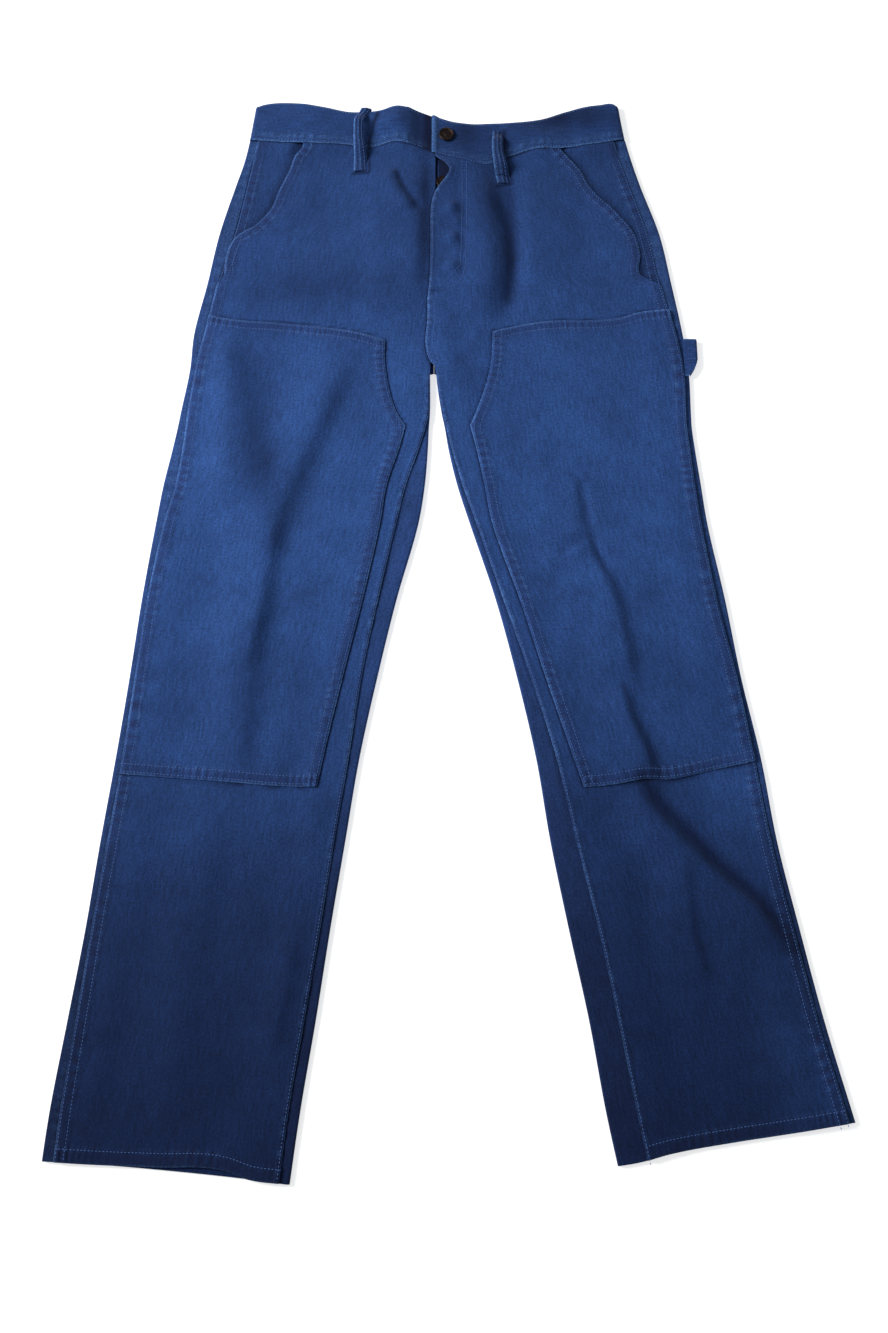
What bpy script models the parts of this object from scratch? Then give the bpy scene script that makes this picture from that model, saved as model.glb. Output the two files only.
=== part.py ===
"""Double-knee carpenter pants, laid flat with the front up, as the pieces a maker cuts and sews.

Sizes and tables are in millimetres from the point of the crotch: +X towards the wearer's left,
+Y towards the waist, +Z up from the surface that the pants lie on. The back panels lie on that
surface and roll round the edges of each leg to the seams on the face, and the fronts lie on
them. The last step puts the origin under the middle of the whole garment.
"""
import math
from collections import namedtuple

import bmesh
import bpy
import numpy as np

MM = 0.001

# Cloth and seams
WALL = 1.2
HEM_WALL = 1.8
BAND_WALL = 2.2
STRAP_WALL = 1.6
CLEAR = 0.3
SEAM_GAP = 0.15
SEAM_LAP = 8.0
HEM_DEPTH = 13.0
HEM_STEP = 1.0

# Heights of the layers, each the top of its layer
LEG_EDGE = 4.3
FRONT_TOP = LEG_EDGE + CLEAR + WALL
BAND_TOP = 6.8
UNDERLAP_TOP = 4.2
BAND_END_TOP = 4.8
TAB_TOP = 7.4
SAG = 1.4
SAG_OUTER_START = 25.0
SAG_INNER_START = 18.0
SAG_RAMP = 32.0

# Fly
FLY_RAISE = 1.9
FLY_NEAR = 36.0
FLY_FAR = 66.0
FLY_FADE_LOW = -30.0
FLY_FADE_HIGH = 2.0
FLY_ROLL_X = 14.0
FLY_ROLL_Y = 232.0
FLY_ROLL_HEIGHT = 3.4
FLY_ROLL_REACH = 18.0
UNDERLAP_LEFT = -14.0
UNDERLAP_RIGHT = 36.0
UNDERLAP_LOW = 92.0
TAB_END = -3.0
TAB_FADE_END = 46.0
TAB_FADE = 30.0
BAND_UNDER_END = 28.0
BAND_UNDER_START = -32.0
BAND_UNDER_FADE = 22.0

# Pockets and crotch
POCKET_END = 108.0
FACING_END = 104.5
FACING_UNDER = 22.0
STRIP_BUTT_END = 104.0
STRIP_LAP_FADE = 18.0
CROTCH_LINE = -5.0
APEX_LINE = -65.0

# Loops and buttons
LOOP_WIDTH = 13.0
LOOP_STAND = 5.6
LOOP_RISE_START = 0.14
LOOP_RISE = 0.22
LOOP_FALL_END = 0.96
LOOP_FALL = 0.2
LOOP_TRIM = 0.2
WAIST_BUTTON_X = 13.0
WAIST_BUTTON_Y = 281.0
WAIST_BUTTON_RADIUS = 8.2
WAIST_BUTTON_HEIGHT = 3.6
FLY_BUTTON_X = 9.0
FLY_BUTTON_Y = 224.0
FLY_BUTTON_RADIUS = 7.0
FLY_BUTTON_HEIGHT = 2.4
BUTTON_STEPS = 20

# A row for each section across a leg: the outline, the outseam on the face, the inner edge of
# the knee patch, the front's inner edge (the inseam below the crotch) and the inner outline.
Section = namedtuple("Section", "y outline outseam knee inseam inner")

RIGHT_LEG = (
    Section(290, -200, -190, -57, 1, -4),
    Section(250, -207, -198, -56, 1, -4),
    Section(220, -215, -203, -55, 1, -4),
    Section(160, -230, -214, -53, 1, -4),
    Section(100, -240, -229, -52, 1, -4),
    Section(40, -251, -239, -51, -1, -4),
    Section(0, -253, -246, -50, -4, -4),
    Section(-50, -260, -252, -38, -5, -4),
    Section(-65, -262, -253, -29, -8, -5),
    Section(-90, -266, -255, -35, -15, -6),
    Section(-130, -273, -260, -47, -28, -9),
    Section(-170, -278, -269, -53, -37, -15),
    Section(-250, -287, -281, -69, -54, -36),
    Section(-330, -294, -288, -87, -69, -54),
    Section(-410, -302, -295, -104, -80, -70),
    Section(-490, -311, -304, -118, -92, -82),
    Section(-570, -319, -313, -129, -103, -94),
    Section(-650, -329, -321, -141, -115, -105),
    Section(-730, -339, -329, -153, -127, -117),
    Section(-795, -344, -333, -161, -134, -125),
)
LEFT_LEG = (
    Section(290, 206, 191, 64, -3, 2),
    Section(250, 215, 203, 64, -3, 2),
    Section(220, 223, 212, 64, -3, 2),
    Section(160, 241, 229, 63, -3, 2),
    Section(100, 251, 239, 63, -5, 2),
    Section(40, 260, 252, 61, -7, 2),
    Section(0, 264, 258, 58, 1, 2),
    Section(-50, 264, 258, 43, 8, 8),
    Section(-65, 264, 258, 37, 12, 11),
    Section(-90, 266, 260, 43, 18, 15),
    Section(-130, 270, 263, 51, 29, 24),
    Section(-170, 274, 267, 58, 42, 36),
    Section(-250, 287, 278, 84, 68, 61),
    Section(-330, 298, 293, 108, 94, 81),
    Section(-410, 312, 305, 133, 117, 98),
    Section(-490, 322, 316, 158, 134, 110),
    Section(-570, 337, 331, 178, 152, 125),
    Section(-650, 353, 347, 195, 167, 141),
    Section(-730, 372, 366, 212, 181, 154),
    Section(-795, 388, 381, 224, 193, 167),
)

# Lines across the garment: the height y that each has at a place x
Mark = namedtuple("Mark", "x y")
BAND_SEAM = (Mark(-203, 277), Mark(-163, 273), Mark(-125, 272), Mark(-98, 271), Mark(-70, 267),
             Mark(-43, 273), Mark(-18, 268), Mark(3, 258), Mark(28, 250), Mark(57, 246),
             Mark(82, 255), Mark(109, 263), Mark(137, 265), Mark(181, 272), Mark(208, 278))
BAND_EDGE = (Mark(-201, 316), Mark(-188, 322), Mark(-148, 323), Mark(-121, 319), Mark(-91, 313),
             Mark(-60, 315), Mark(-41, 319), Mark(-22, 316), Mark(3, 306), Mark(26, 298),
             Mark(61, 298), Mark(116, 301), Mark(143, 312), Mark(182, 321), Mark(198, 322),
             Mark(205, 314))
RIGHT_PATCH_TOP = (Mark(-240, 62), Mark(-211, 56), Mark(-172, 54), Mark(-119, 48), Mark(-82, 42),
                   Mark(-51, 33), Mark(0, 22))
LEFT_PATCH_TOP = (Mark(0, 24), Mark(62, 43), Mark(79, 48), Mark(121, 55), Mark(163, 56),
                  Mark(195, 59), Mark(211, 64), Mark(252, 69))
RIGHT_PATCH_END = (Mark(-296, -426), Mark(-258, -429), Mark(-201, -433), Mark(-135, -438),
                   Mark(-80, -438))
LEFT_PATCH_END = (Mark(110, -441), Mark(141, -439), Mark(172, -436), Mark(200, -431),
                  Mark(224, -431), Mark(262, -423), Mark(308, -413))
RIGHT_HEM = (Mark(-343, -770), Mark(-291, -773), Mark(-229, -778), Mark(-168, -784),
             Mark(-127, -789))
RIGHT_FRONT_HEM = (Mark(-343, -770), Mark(-291, -773), Mark(-233, -775), Mark(-202, -775),
                   Mark(-181, -778), Mark(-160, -785), Mark(-127, -789))
LEFT_HEM = (Mark(163, -774), Mark(182, -771), Mark(209, -764), Mark(262, -755), Mark(324, -746),
            Mark(373, -738))

# The scooped pocket edge and the left front's fly edge: the place x that each has at a height y
RIGHT_POCKET = (Mark(-143, 272), Mark(-144, 266), Mark(-151, 257), Mark(-157, 240),
                Mark(-163, 225), Mark(-169, 210), Mark(-175, 192), Mark(-185, 178),
                Mark(-195, 168), Mark(-208, 160), Mark(-218, 145), Mark(-222, 126),
                Mark(-223, 108), Mark(-229, 100))
LEFT_POCKET = (Mark(135, 266), Mark(147, 252), Mark(158, 239), Mark(168, 218), Mark(179, 204),
               Mark(191, 192), Mark(201, 179), Mark(211, 165), Mark(217, 150), Mark(219, 134),
               Mark(220, 108), Mark(238, 98))
FLY_EDGE = (Mark(0, 262), Mark(2, 254), Mark(9, 248), Mark(15, 240), Mark(16, 234), Mark(13, 227),
            Mark(6, 219), Mark(1, 211), Mark(-3, 196), Mark(-4, 150), Mark(-5, 103), Mark(-7, 79),
            Mark(-7, 55), Mark(-9, 28), Mark(-6, 12), Mark(-1, 2))

# The largest folds of the fronts, from (x0, y0) to (x1, y1), with the height of the crest and
# how far its slopes reach to the left and right of the direction it runs in
Fold = namedtuple("Fold", "x0 y0 x1 y1 height left right")
RIGHT_FOLDS = (
    Fold(-60, -30, -138, -108, 1.6, 24, 26),
    Fold(-124, -62, -172, -236, 3.4, 34, 22),
    Fold(-168, -210, -188, -420, 3.0, 34, 24),
    Fold(-196, -440, -216, -730, 2.2, 36, 26),
    Fold(-212, 30, -222, -150, 1.8, 24, 26),
    Fold(-38, 240, -40, 60, 2.6, 26, 18),
    Fold(-108, 150, -116, 60, 1.4, 34, 34),
    Fold(-142, -560, -158, -720, 1.6, 18, 24),
)
LEFT_FOLDS = (
    Fold(64, 232, 66, 70, 2.8, 20, 26),
    Fold(96, 196, 104, 84, 2.6, 22, 34),
    Fold(120, 92, 176, 88, 1.4, 24, 24),
    Fold(34, 20, 60, -150, 1.6, 18, 20),
    Fold(124, -60, 156, -190, 1.8, 30, 28),
    Fold(160, -206, 196, -330, 2.4, 26, 26),
    Fold(196, -340, 218, -430, 2.4, 24, 24),
    Fold(206, -442, 322, -580, 4.4, 26, 22),
    Fold(232, -500, 252, -640, 2.0, 26, 28),
    Fold(190, -470, 204, -640, 1.8, 20, 24),
    Fold(318, -620, 322, -710, 1.6, 24, 24),
)
# Underneath, the band's seam runs straight from each side to the centre back
BACK_SEAM = (Mark(-202, 277), Mark(0, 252), Mark(208, 278))
BACK_EDGE_BELOW_FRONT = 2.0

# Waves of the front of the waistband
Wave = namedtuple("Wave", "x height reach")
BAND_WAVES = (Wave(-150, 0.9, 34), Wave(-42, 1.9, 17), Wave(34, 1.0, 16), Wave(112, 1.5, 26),
              Wave(172, 0.8, 22))

# Finishes: base colour, roughness, metallic
Finish = namedtuple("Finish", "colour roughness metallic")
TWILL = Finish((0.033, 0.079, 0.225), 0.86, 0.0)
TWILL_SHADE = Finish((0.022, 0.052, 0.155), 0.9, 0.0)
COPPER = Finish((0.09, 0.06, 0.05), 0.45, 0.9)


def smooth(value):
    """A soft step from 0 to 1."""
    t = min(max(value, 0.0), 1.0)
    return t * t * (3 - 2 * t)


def reading(stations, values, at):
    """The smooth curve through the rows of a table, read at one station."""
    stations = np.asarray(stations, dtype=float)
    values = np.asarray(values, dtype=float)
    order = np.argsort(stations)
    stations = stations[order]
    values = values[order]
    at = min(max(at, stations[0]), stations[-1])
    low = int(np.clip(np.searchsorted(stations, at) - 1, 0, len(stations) - 2))
    steps = np.diff(values) / np.diff(stations)
    slopes = np.concatenate(([steps[0]], (steps[1:] + steps[:-1]) / 2, [steps[-1]]))
    span = stations[low + 1] - stations[low]
    t = (at - stations[low]) / span
    curve = (2 * t ** 3 - 3 * t ** 2 + 1) * values[low] + (3 * t ** 2 - 2 * t ** 3) * values[low + 1]
    ends = (t ** 3 - 2 * t ** 2 + t) * slopes[low] + (t ** 3 - t ** 2) * slopes[low + 1]
    return curve + ends * span


def height_at(line, x):
    """Height y of a line across the garment at x."""
    return reading([mark.x for mark in line], [mark.y for mark in line], x)


def place_at(line, y):
    """Place x of a line down the garment at y."""
    rows = sorted(line, key=lambda mark: mark.y)
    return float(np.interp(y, [mark.y for mark in rows], [mark.x for mark in rows]))


class Leg:
    """One side of the garment: its tables and the sign of its outer side."""

    def __init__(self, name, sign, sections, pocket, patch_top, patch_end, back_hem, front_hem, folds):
        self.name = name
        self.sign = sign
        self.sections = sections
        self.pocket = pocket
        self.patch_top = patch_top
        self.patch_end = patch_end
        self.back_hem = back_hem
        self.front_hem = front_hem
        self.folds = folds

    def column(self, label, y):
        """One column of the section table, read at y; the knee's corner stays sharp."""
        stations = [row.y for row in self.sections]
        values = [getattr(row, label) for row in self.sections]
        if label in ("knee", "inseam"):
            return float(np.interp(y, stations[::-1], values[::-1]))
        return reading(stations, values, y)

    def front_outer(self, y):
        """The front's outer edge: the pocket scoop, and the outseam below it."""
        if y > min(mark.y for mark in self.pocket):
            return place_at(self.pocket, y)
        return self.column("outseam", y)

    def front_inner(self, y):
        """The front's inner edge: the fly and crotch seam, and the inseam below them."""
        if self.name == "left" and y > min(mark.y for mark in FLY_EDGE):
            return place_at(FLY_EDGE, y)
        return self.column("inseam", y)

    def relief(self, x, y):
        """How far the folds lift the front, less its sag between the edges."""
        outer_reach = abs(x - self.front_outer(y)) - SAG_OUTER_START
        inner_reach = abs(x - self.front_inner(y)) - SAG_INNER_START
        sag = SAG * smooth(outer_reach / SAG_RAMP) * smooth(inner_reach / SAG_RAMP)
        lift = sum(crest(fold, x, y) for fold in self.folds)
        if self.name == "left":
            low = smooth((y - FLY_FADE_LOW) / (FLY_FADE_HIGH - FLY_FADE_LOW))
            lift += FLY_RAISE * low * smooth((FLY_FAR - x) / (FLY_FAR - FLY_NEAR))
            from_roll = math.hypot(x - FLY_ROLL_X, y - FLY_ROLL_Y)
            lift += FLY_ROLL_HEIGHT * math.exp(-(from_roll / FLY_ROLL_REACH) ** 2)
        return lift - sag

    def front_z(self, x, y):
        """Top of the front panel."""
        return FRONT_TOP + self.relief(x, y)


def crest(fold, x, y):
    """Lift of one fold at a point, fading at both of its ends."""
    run_x = fold.x1 - fold.x0
    run_y = fold.y1 - fold.y0
    length = math.hypot(run_x, run_y)
    along = ((x - fold.x0) * run_x + (y - fold.y0) * run_y) / length ** 2
    across = ((y - fold.y0) * run_x - (x - fold.x0) * run_y) / length
    reach = fold.left if across > 0 else fold.right
    beyond = max(-along, along - 1, 0) * length
    inside = smooth(0.5 + min(along, 1 - along) * 2.5) if 0 <= along <= 1 else 0.5
    return fold.height * inside * math.exp(-(across / reach) ** 2 - (beyond / reach) ** 2)


RIGHT = Leg("right", -1, RIGHT_LEG, RIGHT_POCKET, RIGHT_PATCH_TOP, RIGHT_PATCH_END,
            RIGHT_HEM, RIGHT_FRONT_HEM, RIGHT_FOLDS)
LEFT = Leg("left", 1, LEFT_LEG, LEFT_POCKET, LEFT_PATCH_TOP, LEFT_PATCH_END,
           LEFT_HEM, LEFT_HEM, LEFT_FOLDS)


def clear_scene():
    """Remove whatever the file holds."""
    for item in list(bpy.data.objects):
        bpy.data.objects.remove(item, do_unlink=True)


def finish_material(name, finish):
    """A Principled BSDF material of the piece's own."""
    material = bpy.data.materials.new(name)
    material.use_nodes = True
    shader = material.node_tree.nodes["Principled BSDF"]
    shader.inputs["Base Color"].default_value = (*finish.colour, 1.0)
    shader.inputs["Roughness"].default_value = finish.roughness
    shader.inputs["Metallic"].default_value = finish.metallic
    return material


def add_object(name, mesh_source, finish):
    """Turn a bmesh in millimetres into a named object in metres."""
    bmesh.ops.scale(mesh_source, vec=(MM, MM, MM), verts=mesh_source.verts)
    mesh = bpy.data.meshes.new(name)
    mesh_source.to_mesh(mesh)
    mesh_source.free()
    mesh.materials.append(finish_material(name, finish))
    item = bpy.data.objects.new(name, mesh)
    bpy.context.collection.objects.link(item)
    return item


def grid_of_cloth(columns, rows, point_at):
    """A grid whose point (column, row) is moved to its place, split along one diagonal."""
    cloth = bmesh.new()
    bmesh.ops.create_grid(cloth, x_segments=columns, y_segments=rows, size=0.5)
    indices = {}
    for vert in cloth.verts:
        column = round((vert.co.x + 0.5) * columns)
        row = round((vert.co.y + 0.5) * rows)
        indices[vert.index] = (column, row)
    for vert in cloth.verts:
        vert.co = point_at(*indices[vert.index])
    bmesh.ops.triangulate(cloth, faces=cloth.faces, quad_method="FIXED")
    return cloth, indices


def face_up(cloth, chosen):
    """Turn the sheet so that the chosen faces look up."""
    cloth.normal_update()
    if sum(face.normal.z for face in cloth.faces if chosen(face)) < 0:
        bmesh.ops.reverse_faces(cloth, faces=cloth.faces)
        cloth.normal_update()


def add_wall(item, wall, thick_points=None, thick_wall=None):
    """Give a sheet its wall, grown inwards; a hem's points may take a thicker one."""
    solidify = item.modifiers.new("wall", "SOLIDIFY")
    solidify.offset = -1.0
    solidify.use_even_offset = False
    solidify.thickness = wall * MM
    if thick_points is None:
        return
    solidify.thickness = thick_wall * MM
    group = item.vertex_groups.new(name="wall")
    group.add(range(len(item.data.vertices)), wall / thick_wall, "REPLACE")
    group.add(thick_points, 1.0, "REPLACE")
    solidify.vertex_group = group.name
    solidify.thickness_vertex_group = 0.0


def row_plan(boundaries):
    """Row heights between boundary lines: pairs of a line and the rows from the line before."""
    plan = [(boundaries[0][0], boundaries[0][0], 0.0)]
    for (line, _), (next_line, rows) in zip(boundaries, boundaries[1:]):
        plan += [(line, next_line, step / rows) for step in range(1, rows + 1)]
    return plan


def settle(across, plan_row):
    """The point where a column crosses a row: across(y) is x, the row's lines give y."""
    line, next_line, share = plan_row
    ends = []
    for boundary in (line, next_line):
        y = boundary(across(0.0))
        for _ in range(6):
            y = boundary(across(y))
        ends.append(y)
    y = ends[0] + (ends[1] - ends[0]) * share
    return across(y), y


PATCH_COLUMNS = 9
INNER_COLUMNS = 3
POCKET_ROWS = 7
HIP_ROWS = 3
APEX_ROWS = 4
PATCH_ROWS = 13
SHIN_ROWS = 12


def front_column(leg, column):
    """How far across the front a column stands, as x at a given y."""
    def across(y):
        knee = leg.column("knee", y)
        if column <= PATCH_COLUMNS:
            outer = leg.front_outer(y)
            return outer + (knee - outer) * column / PATCH_COLUMNS
        inner = leg.front_inner(y)
        return knee + (inner - knee) * (column - PATCH_COLUMNS) / INNER_COLUMNS
    return across


def front_rows(leg):
    """Rows of a front from the waist seam to the hem, and the row of the hem's fold."""
    def hem(x):
        return height_at(leg.front_hem, x)
    boundaries = [
        (lambda x: height_at(BAND_SEAM, x) - CLEAR, 0),
        (lambda x: POCKET_END, POCKET_ROWS),
        (lambda x: height_at(leg.patch_top, x), HIP_ROWS),
        (lambda x: APEX_LINE, APEX_ROWS),
        (lambda x: height_at(leg.patch_end, x), PATCH_ROWS),
        (lambda x: hem(x) + HEM_DEPTH + HEM_STEP, SHIN_ROWS),
        (lambda x: hem(x) + HEM_DEPTH, 1),
        (hem, 1),
    ]
    return row_plan(boundaries)


def make_front(leg):
    """A front panel, with its hem turned to a second layer."""
    plan = front_rows(leg)
    last = len(plan) - 1

    def point_at(column, row):
        x, y = settle(front_column(leg, column), plan[last - row])
        hem_lift = HEM_WALL - WALL if row <= 1 else 0.0
        return x, y, leg.front_z(x, y) + hem_lift

    cloth, indices = grid_of_cloth(PATCH_COLUMNS + INNER_COLUMNS, last, point_at)
    face_up(cloth, lambda face: True)
    item = add_object(f"front_{leg.name}", cloth, TWILL)
    hem_points = [index for index, (column, row) in indices.items() if row <= 1]
    add_wall(item, WALL, hem_points, HEM_WALL)


def make_patch(leg):
    """The knee patch: the front's own points from patch top to patch end, moved up."""
    plan = front_rows(leg)
    first = POCKET_ROWS + HIP_ROWS
    rows = APEX_ROWS + PATCH_ROWS

    def point_at(column, row):
        x, y = settle(front_column(leg, column), plan[first + rows - row])
        return x, y, leg.front_z(x, y) + CLEAR + WALL

    cloth, _ = grid_of_cloth(PATCH_COLUMNS, rows, point_at)
    face_up(cloth, lambda face: True)
    add_wall(add_object(f"knee_patch_{leg.name}", cloth, TWILL), WALL)


FLOOR_COLUMNS = 4
CURL_COLUMNS = 4
BACK_HIP_ROWS = 6
BACK_RISE_ROWS = 4
BACK_LEG_ROWS = 18
FACING_COLUMNS = 5
FACING_ROWS = 8
UNDERLAP_CELLS = 4


def make_back(leg):
    """A back panel: flat underneath, rolled round the leg's edges to the seams on the face."""
    radius = LEG_EDGE / 2
    sign = leg.sign
    outer_curl_end = 1 + CURL_COLUMNS
    inner_curl_start = outer_curl_end + FLOOR_COLUMNS
    inner_curl_end = inner_curl_start + CURL_COLUMNS
    columns = inner_curl_end + 1

    def lap(y):
        return -SEAM_GAP + (SEAM_LAP + SEAM_GAP) * smooth((STRIP_BUTT_END - y) / STRIP_LAP_FADE)

    def inner_floor(y):
        if y > CROTCH_LINE + 0.01:
            return sign * SEAM_GAP
        return leg.column("inner", y) + sign * radius

    def point_across(column, y):
        outline = leg.column("outline", y)
        outer_centre = outline - sign * radius
        inner_centre = leg.column("inner", y) + sign * radius
        if column == 0:
            return leg.column("outseam", y) - sign * lap(y), LEG_EDGE
        if column <= outer_curl_end:
            turn = math.pi * (column - 1) / CURL_COLUMNS
            return outer_centre + sign * radius * math.sin(turn), radius + radius * math.cos(turn)
        if column <= inner_curl_start:
            share = (column - outer_curl_end) / FLOOR_COLUMNS
            return outer_centre + (inner_floor(y) - outer_centre) * share, 0.0
        if column <= inner_curl_end:
            turn = math.pi * (column - inner_curl_start) / CURL_COLUMNS
            return inner_centre - sign * radius * math.sin(turn), radius - radius * math.cos(turn)
        return leg.column("inseam", y) + sign * SEAM_LAP, LEG_EDGE

    def hem(x):
        return height_at(leg.back_hem, x)

    plan = row_plan([
        (lambda x: back_seam(x) - CLEAR, 0),
        (lambda x: STRIP_BUTT_END, BACK_HIP_ROWS),
        (lambda x: CROTCH_LINE, BACK_RISE_ROWS),
        (lambda x: hem(x) + HEM_DEPTH + HEM_STEP, BACK_LEG_ROWS),
        (lambda x: hem(x) + HEM_DEPTH, 1),
        (hem, 1),
    ])
    last = len(plan) - 1
    crotch_row = last - BACK_HIP_ROWS - BACK_RISE_ROWS

    def point_at(column, row):
        x, y = settle(lambda y: point_across(column, y)[0], plan[last - row])
        return x, y, point_across(column, y)[1]

    cloth, indices = grid_of_cloth(columns, last, point_at)
    above = []
    for face in cloth.faces:
        corners = [indices[vert.index] for vert in face.verts]
        if min(row for _, row in corners) >= crotch_row:
            if min(column for column, _ in corners) >= inner_curl_start:
                above.append(face)
    bmesh.ops.delete(cloth, geom=above, context="FACES")
    face_up(cloth, lambda face: face.calc_center_median().z > LEG_EDGE * 0.99)
    hem_points = [order for order, vert in enumerate(cloth.verts) if indices[vert.index][1] <= 1]
    item = add_object(f"back_{leg.name}", cloth, TWILL)
    add_wall(item, WALL, hem_points, HEM_WALL)


def make_facing(leg):
    """The pocket facing, flush with the rolled back panel and under the front's scoop."""
    sign = leg.sign

    def column_across(column):
        def across(y):
            outer = leg.column("outseam", y) - sign * SEAM_GAP
            inner = place_at(leg.pocket, y) - sign * FACING_UNDER
            return outer + (inner - outer) * column / FACING_COLUMNS
        return across

    plan = row_plan([
        (lambda x: height_at(BAND_SEAM, x) - CLEAR, 0),
        (lambda x: FACING_END, FACING_ROWS),
    ])

    def point_at(column, row):
        x, y = settle(column_across(column), plan[FACING_ROWS - row])
        return x, y, LEG_EDGE

    cloth, _ = grid_of_cloth(FACING_COLUMNS, FACING_ROWS, point_at)
    face_up(cloth, lambda face: True)
    add_wall(add_object(f"pocket_facing_{leg.name}", cloth, TWILL_SHADE), WALL)


def make_underlap():
    """The underlap behind the fly, which carries the fly buttons."""
    def point_at(column, row):
        x = UNDERLAP_LEFT + (UNDERLAP_RIGHT - UNDERLAP_LEFT) * column / UNDERLAP_CELLS
        top = height_at(BAND_SEAM, x) - 2 * CLEAR
        return x, UNDERLAP_LOW + (top - UNDERLAP_LOW) * row / UNDERLAP_CELLS, UNDERLAP_TOP

    cloth, _ = grid_of_cloth(UNDERLAP_CELLS, UNDERLAP_CELLS, point_at)
    face_up(cloth, lambda face: True)
    add_wall(add_object("fly_underlap", cloth, TWILL_SHADE), WALL)


def back_seam(x):
    """Height of the waistband's seam underneath."""
    return float(np.interp(x, [mark.x for mark in BACK_SEAM], [mark.y for mark in BACK_SEAM]))


def band_wave(x):
    """Lift of the waistband's front at x."""
    return sum(wave.height * math.exp(-((x - wave.x) / wave.reach) ** 2) for wave in BAND_WAVES)


def band_front_z(x):
    """Top of the waistband's front, with the tab raised where it laps over the other end."""
    tab = (TAB_TOP - BAND_TOP) * smooth((TAB_FADE_END - x) / TAB_FADE) if x > TAB_END - 1 else 0.0
    return BAND_TOP + tab + band_wave(x)


def band_under_z(x):
    """Top of the waistband's right end, which dips under the tab."""
    drop = smooth((x - BAND_UNDER_START) / BAND_UNDER_FADE)
    return (BAND_TOP + band_wave(x)) * (1 - drop) + BAND_END_TOP * drop


SIDE_STEPS = 3
BACK_STEPS = 5
BAND_CURL_STEPS = 6
BAND_ROWS = 3
BAND_LEFT_SIDE = 208.0
BAND_RIGHT_SIDE = -202.0
BAND_SIDE_TAPER = 5.0


def front_stations(leg, side_x):
    """Places along the band's front: the front panel's own columns, then on to the side."""
    top_row = front_rows(leg)[0]
    stations = [settle(front_column(leg, column), top_row)[0]
                for column in range(PATCH_COLUMNS + INNER_COLUMNS, -1, -1)]
    reach = side_x - stations[-1]
    return stations + [stations[-1] + reach * step / SIDE_STEPS for step in range(1, SIDE_STEPS)]


def make_waistband():
    """One doubled band, a flattened ring whose left end is lapped over its right end."""
    radius = BAND_TOP / 2
    left_front = [TAB_END] + front_stations(LEFT, BAND_LEFT_SIDE - radius)
    right_front = front_stations(RIGHT, BAND_RIGHT_SIDE + radius)[::-1]
    right_front += [(right_front[-1] + BAND_UNDER_END) / 2, BAND_UNDER_END]
    path = [("over", x) for x in left_front]
    path += [("left curl", step / BAND_CURL_STEPS) for step in range(BAND_CURL_STEPS + 1)]
    path += [("left floor", step / BACK_STEPS) for step in range(1, BACK_STEPS + 1)]
    path += [("right floor", step / BACK_STEPS) for step in range(1, BACK_STEPS)]
    path += [("right curl", step / BAND_CURL_STEPS) for step in range(BAND_CURL_STEPS + 1)]
    path += [("under", x) for x in right_front]

    def point_at(column, row):
        part, share = path[column]
        rise = row / BAND_ROWS
        left_centre = BAND_LEFT_SIDE - BAND_SIDE_TAPER * rise - radius
        right_centre = BAND_RIGHT_SIDE + BAND_SIDE_TAPER * rise + radius
        if part in ("over", "under"):
            x = min(max(share, right_centre - 1), left_centre + 1)
            z = band_front_z(x) if part == "over" else band_under_z(x)
            seam = height_at(BAND_SEAM, x)
            return x, seam + (height_at(BAND_EDGE, x) - seam) * rise, z
        if part == "left curl":
            x = left_centre + radius * math.sin(math.pi * share)
            z = radius + radius * math.cos(math.pi * share)
        elif part == "right curl":
            x = right_centre - radius * math.sin(math.pi * share)
            z = radius - radius * math.cos(math.pi * share)
        else:
            x = left_centre * (1 - share) if part == "left floor" else right_centre * share
            z = 0.0
        underneath = 1 - z / BAND_TOP
        seam = back_seam(x) * underneath + height_at(BAND_SEAM, x) * (1 - underneath)
        edge = height_at(BAND_EDGE, x) - BACK_EDGE_BELOW_FRONT * underneath
        return x, seam + (edge - seam) * rise, z

    cloth, _ = grid_of_cloth(len(path) - 1, BAND_ROWS, point_at)
    face_up(cloth, lambda face: face.calc_center_median().z > BAND_TOP)
    add_wall(add_object("waistband", cloth, TWILL), BAND_WALL)


LOOP_STEPS = 14

# Each belt loop from its stitched lower end to its upper end; a hooked one turns over the edge
BeltLoop = namedtuple("BeltLoop", "name leg x0 y0 x1 y1 hooked")
BELT_LOOPS = (
    BeltLoop("belt_loop_right", RIGHT, -80, 236, -75, 315, True),
    BeltLoop("belt_loop_left", LEFT, 74, 222, 70, 286, False),
)


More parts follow.
